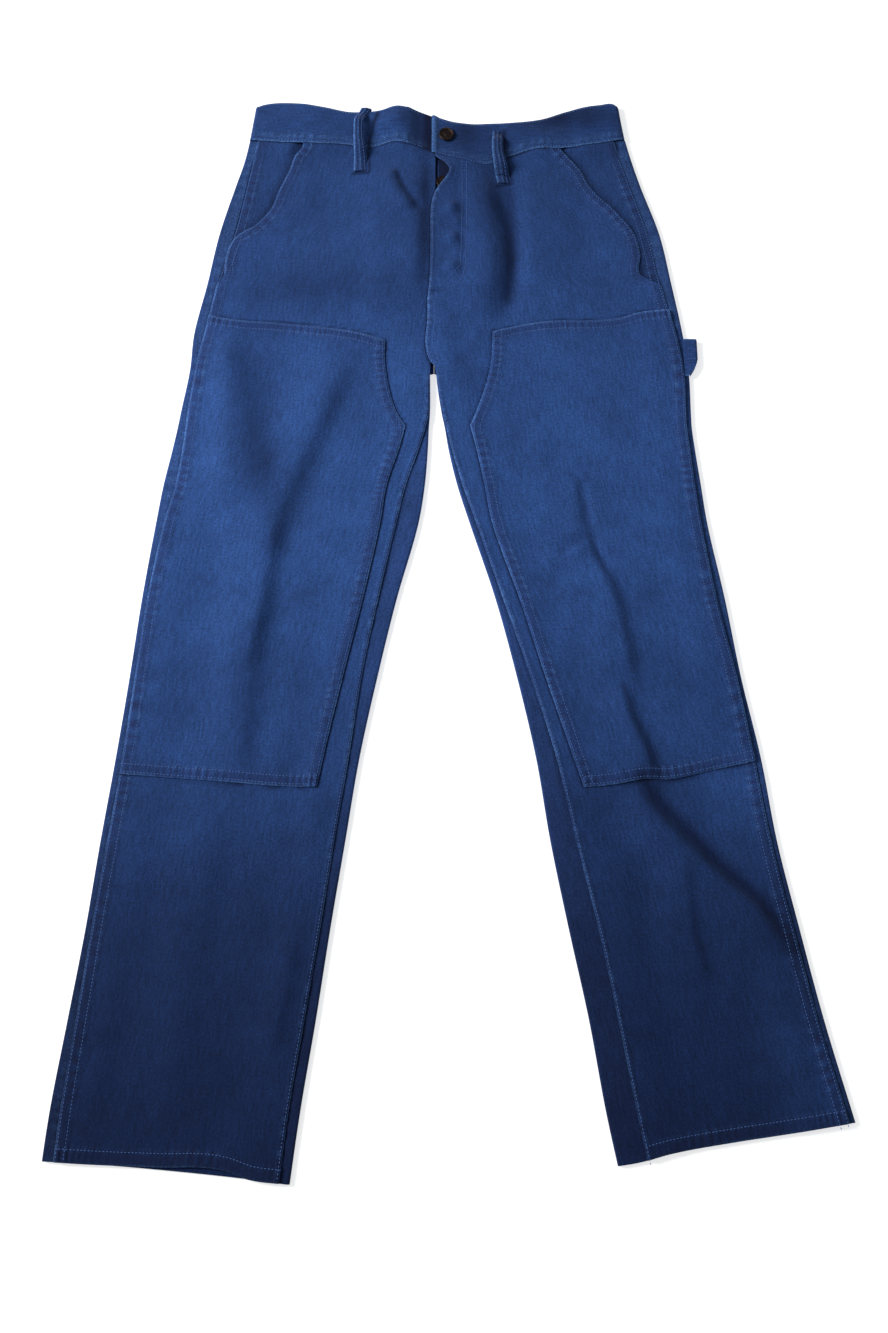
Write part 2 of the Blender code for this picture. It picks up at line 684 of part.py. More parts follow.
def make_belt_loop(loop):
    """A strap sewn down at both ends, standing off the waistband between them."""
    def carried(x, y):
        panel = loop.leg.front_z(x, min(y, height_at(BAND_SEAM, x)))
        return max(panel, band_front_z(x)) if y > loop.y0 + 10 else panel

    def centre_z(share):
        x = loop.x0 + (loop.x1 - loop.x0) * share
        y = loop.y0 + (loop.y1 - loop.y0) * share
        stand = smooth((share - LOOP_RISE_START) / LOOP_RISE) * smooth((LOOP_FALL_END - share) / LOOP_FALL)
        return carried(x, y) + CLEAR + STRAP_WALL + LOOP_TRIM + LOOP_STAND * stand

    hook = [(1.8, -0.6), (2.6, -2.4)] if loop.hooked else []

    def point_at(column, row):
        side = (column / 2 - 0.5) * LOOP_WIDTH
        share = min(row / LOOP_STEPS, 1.0)
        y = loop.y0 + (loop.y1 - loop.y0) * share
        z = centre_z(share)
        if row > LOOP_STEPS:
            past, drop = hook[row - LOOP_STEPS - 1]
            y += past
            z += drop
        return loop.x0 + (loop.x1 - loop.x0) * share + side, y, z

    cloth, _ = grid_of_cloth(2, LOOP_STEPS + len(hook), point_at)
    face_up(cloth, lambda face: True)
    add_wall(add_object(loop.name, cloth, TWILL), STRAP_WALL)


def make_hammer_loop():
    """A wide strap from the left outseam, folded round to lie flat under itself."""
    top = LEG_EDGE + CLEAR + STRAP_WALL
    radius = top / 2
    fold_x = 274.0
    upper_start = 259.0
    lower_start = 265.5
    upper_y = 34.0
    corner = (Mark(258, -9), Mark(264, -8), Mark(268, -3), Mark(272, 5), Mark(274, 12))
    centre = fold_x - radius
    path = [(upper_start + (centre - upper_start) * step / 3, top) for step in range(4)]
    for step in range(1, 7):
        turn = math.pi * step / 6
        path.append((centre + radius * math.sin(turn), radius + radius * math.cos(turn)))
    path.append(((centre + lower_start) / 2, 0.0))
    path.append((lower_start, 0.0))

    def point_at(column, row):
        x, z = path[column]
        low = height_at(corner, x)
        return x, low + (upper_y - low) * row / 3, z

    cloth, _ = grid_of_cloth(len(path) - 1, 3, point_at)
    face_up(cloth, lambda face: face.calc_center_median().z > top * 0.99)
    add_wall(add_object("hammer_loop", cloth, TWILL), STRAP_WALL)


def make_button(name, x, y, base, radius, height):
    """A plain shank button: a dished cap with a rolled rim, turned round its own axis."""
    profile = ((0.0, 0.0), (0.55, 0.0), (0.62, 0.35), (0.96, 0.42), (1.0, 0.7), (0.93, 0.95),
               (0.82, 1.0), (0.7, 0.84), (0.4, 0.8), (0.0, 0.86))
    button = bmesh.new()
    points = [button.verts.new((r * radius, 0.0, z * height)) for r, z in profile]
    edges = [button.edges.new(pair) for pair in zip(points, points[1:])]
    bmesh.ops.spin(button, geom=points + edges, cent=(0, 0, 0), axis=(0, 0, 1),
                   angle=2 * math.pi, steps=BUTTON_STEPS, use_merge=True)
    bmesh.ops.remove_doubles(button, verts=button.verts, dist=0.01)
    bmesh.ops.recalc_face_normals(button, faces=button.faces)
    bmesh.ops.translate(button, vec=(x, y, base), verts=button.verts)
    item = add_object(name, button, COPPER)
    item.data.shade_smooth()


def centre_part():
    """Put the origin under the middle of the garment's footprint."""
    corners = np.array([vert.co for item in bpy.data.objects for vert in item.data.vertices])
    middle = (corners.min(axis=0) + corners.max(axis=0)) / 2
    for item in bpy.data.objects:
        item.location = (-middle[0], -middle[1], 0.0)


def main():
    """Build every piece."""
    clear_scene()
    for leg in (RIGHT, LEFT):
        make_back(leg)
        make_front(leg)
        make_patch(leg)
        make_facing(leg)
    make_underlap()
    make_waistband()
    for loop in BELT_LOOPS:
        make_belt_loop(loop)
    make_hammer_loop()
    make_button("waist_button", WAIST_BUTTON_X, WAIST_BUTTON_Y, band_front_z(WAIST_BUTTON_X) + CLEAR,
                WAIST_BUTTON_RADIUS, WAIST_BUTTON_HEIGHT)
    make_button("fly_button", FLY_BUTTON_X, FLY_BUTTON_Y, UNDERLAP_TOP + CLEAR,
                FLY_BUTTON_RADIUS, FLY_BUTTON_HEIGHT)
    centre_part()


main()
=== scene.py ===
"""Double-knee carpenter pants laid flat: the cloth with its creases, the sewing, the buttons,
and the stage with its light and camera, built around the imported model.

Lengths in the tables are millimetres from the point of the crotch: +X towards the wearer's
left, +Y towards the waist, +Z up from the surface that the pants lie on.
"""
import math
from collections import namedtuple

import bmesh
import bpy
import numpy as np
from mathutils import Matrix, Vector


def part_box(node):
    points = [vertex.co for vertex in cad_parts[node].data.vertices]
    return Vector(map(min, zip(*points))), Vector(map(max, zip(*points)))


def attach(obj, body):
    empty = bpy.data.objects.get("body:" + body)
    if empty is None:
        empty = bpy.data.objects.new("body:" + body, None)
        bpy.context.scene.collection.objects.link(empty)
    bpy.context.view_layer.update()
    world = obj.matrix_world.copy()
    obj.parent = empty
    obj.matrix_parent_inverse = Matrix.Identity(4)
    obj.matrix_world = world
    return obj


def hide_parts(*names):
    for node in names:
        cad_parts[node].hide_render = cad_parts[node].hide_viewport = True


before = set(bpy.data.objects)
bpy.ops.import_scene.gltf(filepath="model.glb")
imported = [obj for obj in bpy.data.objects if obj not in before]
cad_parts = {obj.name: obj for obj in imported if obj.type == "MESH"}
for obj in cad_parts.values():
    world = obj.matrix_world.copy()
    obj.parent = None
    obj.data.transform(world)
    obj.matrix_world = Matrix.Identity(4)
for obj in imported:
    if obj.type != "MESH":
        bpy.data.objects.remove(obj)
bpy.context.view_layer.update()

bl_info = {
    "name": "Carpenter Pants",
    "version": (1, 0, 0),
    "blender": (4, 5, 0),
    "location": "View3D > Sidebar > Pants",
    "description": "Cloth, sewing, buttons and stage for double-knee carpenter pants laid flat",
    "category": "Add Mesh",
}

MM = 0.001

# The underlap's lower corner, from the point of the crotch, places everything in the frame
UNDERLAP_LEFT = -14.0
UNDERLAP_RIGHT = 36.0
UNDERLAP_LOW = 92.0
UNDERLAP_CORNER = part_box("fly_underlap")[0]
CROTCH_X = UNDERLAP_CORNER.x / MM - UNDERLAP_LEFT
CROTCH_Y = UNDERLAP_CORNER.y / MM - UNDERLAP_LOW

# Heights of the layers, each the top of its layer
CLEAR = 0.3
LEG_EDGE = 4.3
SOLID_WALL = 1.2
FRONT_TOP = LEG_EDGE + CLEAR + SOLID_WALL
PATCH_LIFT = CLEAR + SOLID_WALL
BAND_TOP = 6.8
TAB_TOP = 7.4
BAND_END_TOP = 4.8
UNDERLAP_TOP = 4.2
SEAM_GAP = 0.15
SEAM_LAP = 8.0
STRIP_BUTT_END = 104.0
STRIP_LAP_FADE = 18.0
CROTCH_LINE = -5.0
APEX_LINE = -65.0
POCKET_END = 108.0
FACING_END = 97.0
FACING_UNDER = 22.0
HEM_DEPTH = 13.0
HEM_STEP = 1.0
HEM_LIFT = 0.6
BACK_EDGE_BELOW_FRONT = 2.0

# Sag of the fronts between their edges
SAG = 1.4
SAG_OUTER_START = 25.0
SAG_INNER_START = 18.0
SAG_RAMP = 32.0

# Sides of the belt loops, beside which the cloth gets a painted shadow
LOOP_SHADOW_SIDES = [((-62, 311), (-67, 296), (-72, 262), (-70, 238), (-71, 234), (-88, 234)),
              ((76, 285), (76, 262), (82, 240), (84, 222), (67, 218))]

# A row for each section across a leg: the outline, the outseam on the face, the inner edge of
# the knee patch, the front's inner edge (the inseam below the crotch) and the inner outline
Section = namedtuple("Section", "y outline outseam knee inseam inner")

RIGHT_LEG = tuple(Section(*row) for row in (
    (290, -200, -190, -57, 1, -4),
    (250, -207, -198, -56, 1, -4),
    (220, -215, -203, -55, 1, -4),
    (160, -230, -214, -53, 1, -4),
    (100, -240, -229, -52, 1, -4),
    (40, -251, -239, -51, -1, -4),
    (0, -253, -246, -50, -4, -4),
    (-50, -260, -252, -38, -5, -4),
    (-65, -262, -253, -29, -8, -5),
    (-90, -266, -255, -35, -15, -6),
    (-130, -273, -260, -47, -28, -9),
    (-170, -278, -269, -53, -37, -15),
    (-250, -287, -281, -69, -54, -36),
    (-330, -294, -288, -87, -69, -54),
    (-410, -302, -295, -104, -80, -70),
    (-490, -311, -304, -118, -92, -82),
    (-570, -319, -313, -129, -103, -94),
    (-650, -329, -321, -141, -115, -105),
    (-730, -339, -329, -153, -127, -117),
    (-795, -344, -333, -161, -134, -125),
))
LEFT_LEG = tuple(Section(*row) for row in (
    (290, 206, 191, 64, -3, 2),
    (250, 215, 203, 64, -3, 2),
    (220, 223, 212, 64, -3, 2),
    (160, 241, 229, 63, -3, 2),
    (100, 251, 239, 63, -5, 2),
    (40, 260, 252, 61, -7, 2),
    (0, 264, 258, 58, 1, 2),
    (-50, 264, 258, 43, 8, 8),
    (-65, 264, 258, 37, 12, 11),
    (-90, 266, 260, 43, 18, 15),
    (-130, 270, 263, 51, 29, 24),
    (-170, 274, 267, 58, 42, 36),
    (-250, 287, 278, 84, 68, 61),
    (-330, 298, 293, 108, 94, 81),
    (-410, 312, 305, 133, 117, 98),
    (-490, 322, 316, 158, 134, 110),
    (-570, 337, 331, 178, 152, 125),
    (-650, 353, 347, 195, 167, 141),
    (-730, 372, 366, 212, 181, 154),
    (-795, 388, 381, 224, 193, 167),
))

# Lines across the garment, x and y of each mark, and edges down it
BAND_SEAM = ((-203, 277), (-163, 273), (-125, 272), (-98, 271), (-70, 267), (-43, 273), (-18, 268),
             (3, 258), (28, 250), (57, 246), (82, 255), (109, 263), (137, 265), (181, 272), (208, 278))
BAND_EDGE = ((-201, 316), (-188, 322), (-148, 323), (-121, 319), (-91, 313), (-60, 315), (-41, 319),
             (-22, 316), (3, 306), (26, 298), (61, 298), (116, 301), (143, 312), (182, 321),
             (198, 322), (205, 314))
BACK_SEAM = ((-202, 277), (0, 252), (208, 278))
RIGHT_PATCH_TOP = ((-240, 62), (-211, 56), (-172, 54), (-119, 48), (-82, 42), (-51, 33), (0, 22))
LEFT_PATCH_TOP = ((0, 24), (62, 43), (79, 48), (121, 55), (163, 56), (195, 59), (211, 64), (252, 69))
RIGHT_PATCH_END = ((-296, -426), (-258, -429), (-201, -433), (-135, -438), (-80, -438))
LEFT_PATCH_END = ((110, -441), (141, -439), (172, -436), (200, -431), (224, -431), (262, -423),
                  (308, -413))
RIGHT_HEM = ((-343, -770), (-291, -773), (-229, -778), (-168, -784), (-127, -789))
RIGHT_FRONT_HEM = ((-343, -770), (-291, -773), (-233, -775), (-202, -775), (-181, -778),
                   (-160, -785), (-127, -789))
LEFT_HEM = ((163, -774), (182, -771), (209, -764), (262, -755), (324, -746), (373, -738))
RIGHT_POCKET = ((-143, 272), (-144, 266), (-151, 257), (-157, 240), (-163, 225), (-169, 210),
                (-175, 192), (-185, 178), (-195, 168), (-208, 160), (-218, 145), (-222, 126),
                (-223, 108), (-229, 100))
LEFT_POCKET = ((135, 266), (147, 252), (158, 239), (168, 218), (179, 204), (191, 192), (201, 179),
               (211, 165), (217, 150), (219, 134), (220, 108), (238, 98))
FLY_EDGE = ((0, 262), (2, 254), (9, 248), (15, 240), (16, 234), (13, 227), (6, 219), (1, 211),
            (-3, 196), (-4, 150), (-5, 103), (-7, 79), (-7, 55), (-9, 28), (-6, 12), (-1, 2))

# Creases of the fronts: the height of the crest, or depth where it is negative, how far its
# slopes reach to the left and right of the way the path runs, and the path
Crease = namedtuple("Crease", "height left right path")
RIGHT_CREASES = (
    Crease(6.0, 18, 36, ((-90, 12), (-102, -14), (-115, -46), (-133, -92), (-147, -125),
                         (-158, -158), (-164, -200))),
    Crease(6.0, 12, 36, ((-158, -158), (-165, -205), (-171, -253), (-179, -294), (-186, -334))),
    Crease(-1.4, 24, 20, ((-87, -8), (-110, -70), (-130, -130), (-150, -180), (-162, -216))),
    Crease(3.2, 14, 30, ((-172, -240), (-176, -300), (-182, -370), (-190, -430))),
    Crease(2.6, 20, 40, ((-198, -450), (-207, -500), (-214, -560), (-219, -640), (-228, -740))),
    Crease(-0.9, 16, 14, ((-187, -441), (-196, -520), (-206, -600), (-214, -680), (-224, -744))),
    Crease(2.4, 22, 16, ((-216, 40), (-205, -60), (-214, -160))),
    Crease(5.5, 24, 34, ((-236, 48), (-208, -12), (-200, -66), (-196, -107), (-210, -166))),
    Crease(3.4, 7, 14, ((-50, 240), (-38, 214), (-22, 186))),
    Crease(-3.2, 5, 8, ((-42, 236), (-30, 210), (-12, 184))),
    Crease(6.0, 30, 40, ((-46, 262), (-46, 200), (-48, 140), (-52, 84), (-58, 50))),
    Crease(1.8, 8, 12, ((-16, 252), (-16, 200), (-18, 140), (-20, 84))),
    Crease(1.4, 34, 30, ((-112, 150), (-118, 64))),
    Crease(1.8, 8, 20, ((-128, -571), (-135, -624), (-147, -685))),
)
LEFT_CREASES = (
    Crease(7.0, 15, 26, ((52, 240), (56, 190), (58, 140), (56, 96), (50, 60))),
    Crease(-3.6, 10, 8, ((71, 213), (83, 164), (86, 127), (80, 80), (74, 58))),
    Crease(3.4, 40, 13, ((100, 236), (104, 190), (106, 140), (104, 90))),
    Crease(1.2, 14, 14, ((100, 70), (150, 72))),
    Crease(2.0, 14, 12, ((6, 90), (10, 20), (22, -30))),
    Crease(-2.8, 4, 5, ((148, -125), (156, -179))),
    Crease(-2.6, 4, 5, ((156, -181), (125, -203))),
    Crease(-2.8, 5, 4, ((157, -184), (172, -227))),
    Crease(1.6, 12, 8, ((150, -194), (128, -206), (104, -214))),
    Crease(4.2, 10, 28, ((160, -206), (176, -253), (184, -294), (190, -334))),
    Crease(4.4, 9, 26, ((178, -340), (186, -374), (196, -395), (208, -430))),
    Crease(9.0, 11, 30, ((190, -440), (199, -455), (217, -475), (235, -494), (252, -512),
                        (270, -531), (296, -553), (310, -572), (322, -594))),
    Crease(-2.6, 8, 6, ((195, -437), (222, -470), (257, -507), (301, -548), (326, -589))),
    Crease(3.2, 7, 22, ((230, -500), (236, -580), (249, -620))),
    Crease(-1.2, 16, 18, ((202, -498), (199, -571))),
    Crease(1.8, 16, 30, ((306, -606), (318, -660), (328, -716))),
    Crease(0.9, 7, 9, ((94, 230), (112, 240), (131, 246))),
)

# Steps that a point takes to settle where two edges cross
SETTLING_STEPS = 6

# Rise of the fronts towards the waistband that they are sewn into
BAND_RISE = 1.2
BAND_RISE_REACH = 16.0

# Round bumps over what lies beneath: the fly's buttons and the gap's rolled edge
Bump = namedtuple("Bump", "x y height reach")
FLY_BUMPS = (Bump(19, 190, 4.2, 7), Bump(20, 153, 4.0, 7), Bump(19, 119, 3.4, 7),
             Bump(24, 171, 2.4, 6), Bump(25, 135, 2.2, 6), Bump(14, 232, 4.4, 14))
FLY_RAISE = 2.4
FLY_NEAR = 36.0
FLY_FAR = 66.0
FLY_FADE_LOW = -30.0
FLY_FADE_HIGH = 2.0

Wave = namedtuple("Wave", "x height reach")
BAND_WAVES = (Wave(-150, 1.6, 34), Wave(-40, 3.2, 17), Wave(30, 1.4, 12), Wave(112, 3.0, 24),
              Wave(168, 2.2, 18), Wave(196, 0.8, 10))


def linear(hex_colour):
    """An sRGB hex colour as linear red, green and blue."""
    parts = [int(hex_colour[start:start + 2], 16) / 255 for start in (1, 3, 5)]
    return tuple(part / 12.92 if part <= 0.04045 else ((part + 0.055) / 1.055) ** 2.4
                 for part in parts)


def colour_setting(name, description, hex_colour):
    """A colour that the panel shows."""
    return bpy.props.FloatVectorProperty(name=name, description=description, subtype="COLOR",
                                         size=3, min=0, max=1, default=linear(hex_colour))


def length_setting(name, description, default, least, most):
    """A length in millimetres, kept in metres."""
    return bpy.props.FloatProperty(name=name, description=description, default=default * MM,
                                   min=least * MM, max=most * MM, unit="LENGTH")


class ClothSettings(bpy.types.PropertyGroup):
    """Cloth of the panels."""

    wall: length_setting("Wall", "Thickness of one layer of twill", 1.0, 0.5, 1.2)
    twill: colour_setting("Twill", "Dyed face of the twill", "#2a4a84")
    worn: colour_setting("Worn", "Twill rubbed pale on edges and ridges", "#5580bd")
    # Seam: greyer colour of gathered seams, partly dye kept in the gathers and partly painted shade in
    # their troughs
    seam: colour_setting("Seam", "Greyer dye that the gathered seams keep", "#243260")
    # Washing scales the painted shade and light as well as the washed-pale thighs: at 0 the twill is one
    # even shade
    wash_and_painted_shade_strength: bpy.props.FloatProperty(
        name="Washing", description="How much paler the thighs are washed than the hips and shins",
        subtype="FACTOR", default=1.0, min=0, max=1)


class SewingSettings(bpy.types.PropertyGroup):
    """Stitches."""

    pitch: length_setting("Pitch", "Distance from one stitch to the next", 3.2, 1.5, 6)
    length: length_setting("Length", "Length of the thread that shows in one stitch", 2.5, 1, 5)
    thickness: length_setting("Thickness", "Thickness of the thread", 0.75, 0.2, 1.2)
    thread: colour_setting("Thread", "Colour of the thread", "#4469ab")


class StageSettings(bpy.types.PropertyGroup):
    """Light, floor and camera."""

    height: bpy.props.FloatProperty(
        name="Height", description="Height of the camera above the floor",
        default=1.2135, min=0.3, max=5, unit="LENGTH")
    tilt: bpy.props.FloatProperty(
        name="Tilt", description="Turn of the camera from straight down",
        default=math.radians(15.66), subtype="ANGLE")
    key: bpy.props.FloatProperty(
        name="Key", description="Power of the lamp at the upper left, in watts",
        default=370.0, min=0)
    fill: bpy.props.FloatProperty(
        name="Fill", description="Strength of the light from all round",
        default=0.3, min=0)
    floor_glow: bpy.props.FloatProperty(
        name="Floor glow", description="Light that the paper gives of itself",
        default=0.6, min=0)


def smooth(value):
    """A soft step from 0 to 1."""
    t = np.clip(value, 0.0, 1.0)
    return t * t * (3 - 2 * t)


def bell(gap, reach):
    """A soft bump of height 1 that fades as the gap grows past its reach."""
    return np.exp(-(gap / reach) ** 2)


def eased(share, closeness):
    """Shares from 0 to 1 that lie closer together near both ends."""
    return share - closeness * np.sin(2 * np.pi * share) / (2 * np.pi)


def reading(stations, values, at):
    """The smooth curve through the rows of a table, read at many stations."""
    stations = np.asarray(stations, dtype=float)
    values = np.asarray(values, dtype=float)
    order = np.argsort(stations)
    stations = stations[order]
    values = values[order]
    at = np.clip(at, stations[0], stations[-1])
    low = np.clip(np.searchsorted(stations, at) - 1, 0, len(stations) - 2)
    steps = np.diff(values) / np.diff(stations)
    slopes = np.concatenate(([steps[0]], (steps[1:] + steps[:-1]) / 2, [steps[-1]]))
    span = stations[low + 1] - stations[low]
    t = (at - stations[low]) / span
    curve = (2 * t ** 3 - 3 * t ** 2 + 1) * values[low] + (3 * t ** 2 - 2 * t ** 3) * values[low + 1]
    ends = (t ** 3 - 2 * t ** 2 + t) * slopes[low] + (t ** 3 - t ** 2) * slopes[low + 1]
    return curve + ends * span


def height_at(line, x):
    """Height y of a line across the garment at x."""
    return reading([mark[0] for mark in line], [mark[1] for mark in line], x)


def place_at(line, y):
    """Place x of an edge down the garment at y."""
    return reading([mark[1] for mark in line], [mark[0] for mark in line], y)


def back_seam(x):
    """Height of the waistband's seam underneath."""
    return np.interp(x, [mark[0] for mark in BACK_SEAM], [mark[1] for mark in BACK_SEAM])


def nearest(path, x, y):
    """Distance of points from a path, the length along it, and the side: 1 to its left."""
    best = np.full(np.shape(x), np.inf)
    along = np.zeros(np.shape(x))
    side = np.zeros(np.shape(x))
    travelled = 0.0
    for (x0, y0), (x1, y1) in zip(path, path[1:]):
        run_x = x1 - x0
        run_y = y1 - y0
        length = math.hypot(run_x, run_y)
        share = np.clip(((x - x0) * run_x + (y - y0) * run_y) / length ** 2, 0, 1)
        gap = np.hypot(x - x0 - share * run_x, y - y0 - share * run_y)
        closer = gap < best
        best = np.where(closer, gap, best)
        along = np.where(closer, travelled + share * length, along)
        side = np.where(closer, np.sign(run_x * (y - y0) - run_y * (x - x0)), side)
        travelled += length
    return best, along, side


def path_length(path):
    """Length of a path."""
    return sum(math.dist(start, end) for start, end in zip(path, path[1:]))


def crease_lift(crease, x, y):
    """Lift of a crease at many points, fading at both of its ends."""
    distance, along, side = nearest(crease.path, x, y)
    length = path_length(crease.path)
    fade = smooth(0.25 + along / (0.3 * length)) * smooth(0.25 + (length - along) / (0.3 * length))
    reach = np.where(side > 0, crease.left, crease.right)
    return crease.height * fade * bell(distance, reach)


def unevenness(x, y, seed):
    """Slight waviness of cloth that has been worn and washed, long down the leg."""
    lift = 0.16 * np.sin(x / 5.3 + 2.1 * np.sin(y / 61 + seed) + seed)
    lift += 0.14 * np.sin(x / 8.7 - 1.7 * np.sin(y / 87 + 2 * seed) + 3 * seed)
    lift += 0.12 * np.sin((x + y) / 11.9 + 1.3 * np.sin(x / 37 - y / 53) + 5 * seed)
    lift += 0.10 * np.sin((x - 1.6 * y) / 9.1 + 1.9 * np.sin(y / 47 + x / 71) + 7 * seed)
    return lift * (0.6 + 0.4 * np.sin(x / 43 + y / 97 + seed))


def gathers(along, pitch, seed):
    """Uneven little waves along a seam that has shrunk."""
    phase = 2 * np.pi * along / pitch + 1.9 * np.sin(along / 11 + seed) + 2.3 * np.sin(along / 29)
    return np.sin(phase) * (0.55 + 0.45 * np.sin(along / 19 + 2 * seed))


# An edge that is folded in and sewn down: its path, how far in its rows of stitches lie, and
# the pitch and height of its gathers
Edge = namedtuple("Edge", "path rows pitch height seed")

# How far in from their edges the rows of stitches lie
OUTSEAM_ROWS = (2.2, 9.4)
INSEAM_ROWS = (2.0,)
POCKET_ROWS = (2.2, 8.6)

# Near a sewn edge: the folded-in layer lifts the cloth a little past the last row, the fold
# rolls down at the very edge, and each row of stitches pulls a dent
FOLDED_LIFT = 0.4
FOLDED_PAST = 1.0
FOLDED_FADE = 3.0
EDGE_ROLL = 0.9
EDGE_ROLL_REACH = 2.4
ROW_DENT = 0.22
ROW_REACH = 0.9
# Where the gathers lie, as a share of the way to the last row, and how much greyer they are: dye kept in
# them and painted shade in their troughs
GATHER_MIDDLE = 0.55
GATHER_DYE_AND_SHADE = 0.45
# Wear of the edge itself, and of the gathers' crests just past the last row
EDGE_WEAR_REACH = 1.2
CREST_WEAR = 0.4
CREST_PAST = 0.5
CREST_REACH = 2.0


def sewn_edge(edge, x, y):
    """Lift, wear and gathering that a sewn edge gives the cloth near it."""
    distance, along, _ = nearest(edge.path, x, y)
    last = max(edge.rows)
    lift = FOLDED_LIFT * (1 - smooth((distance - last - FOLDED_PAST) / FOLDED_FADE))
    lift -= EDGE_ROLL * (1 - smooth(distance / EDGE_ROLL_REACH))
    window = bell(distance - last * GATHER_MIDDLE, last * GATHER_MIDDLE + 1.0)
    wave = gathers(along, edge.pitch, edge.seed)
    lift += edge.height * wave * window
    for row in edge.rows:
        lift -= ROW_DENT * bell(distance - row, ROW_REACH)
    rubbed = 0.52 + 0.28 * np.sin(along / 23 + edge.seed) + 0.2 * gathers(along, 7.0, edge.seed)
    wear = rubbed * bell(distance, EDGE_WEAR_REACH)
    wear += CREST_WEAR * np.maximum(wave, 0) * bell(distance - last - CREST_PAST, CREST_REACH)
    # The greying is deepest in the gathers' troughs, partly as painted shade
    return lift, wear, window * (GATHER_DYE_AND_SHADE - GATHER_DYE_AND_SHADE * wave)


def band_wave(x):
    """Lift of the waistband's front at x."""
    return sum(wave.height * bell(x - wave.x, wave.reach) for wave in BAND_WAVES)


def band_pull(x, y):
    """Rise of the cloth below the waistband to meet its lower edge."""
    below = np.maximum(height_at(BAND_SEAM, x) - y, 0)
    return (BAND_RISE + band_wave(x)) * bell(below, BAND_RISE_REACH)


def painted_shade_along(paths, x, y, reach=1.6, depth=0.8):
    """How much painted shade darkens the cloth along paths, such as the edges of cloth that lies on top.
    """
    gaps = [nearest(path, x, y)[0] for path in paths]
    return depth * bell(np.minimum.reduce(gaps), reach)


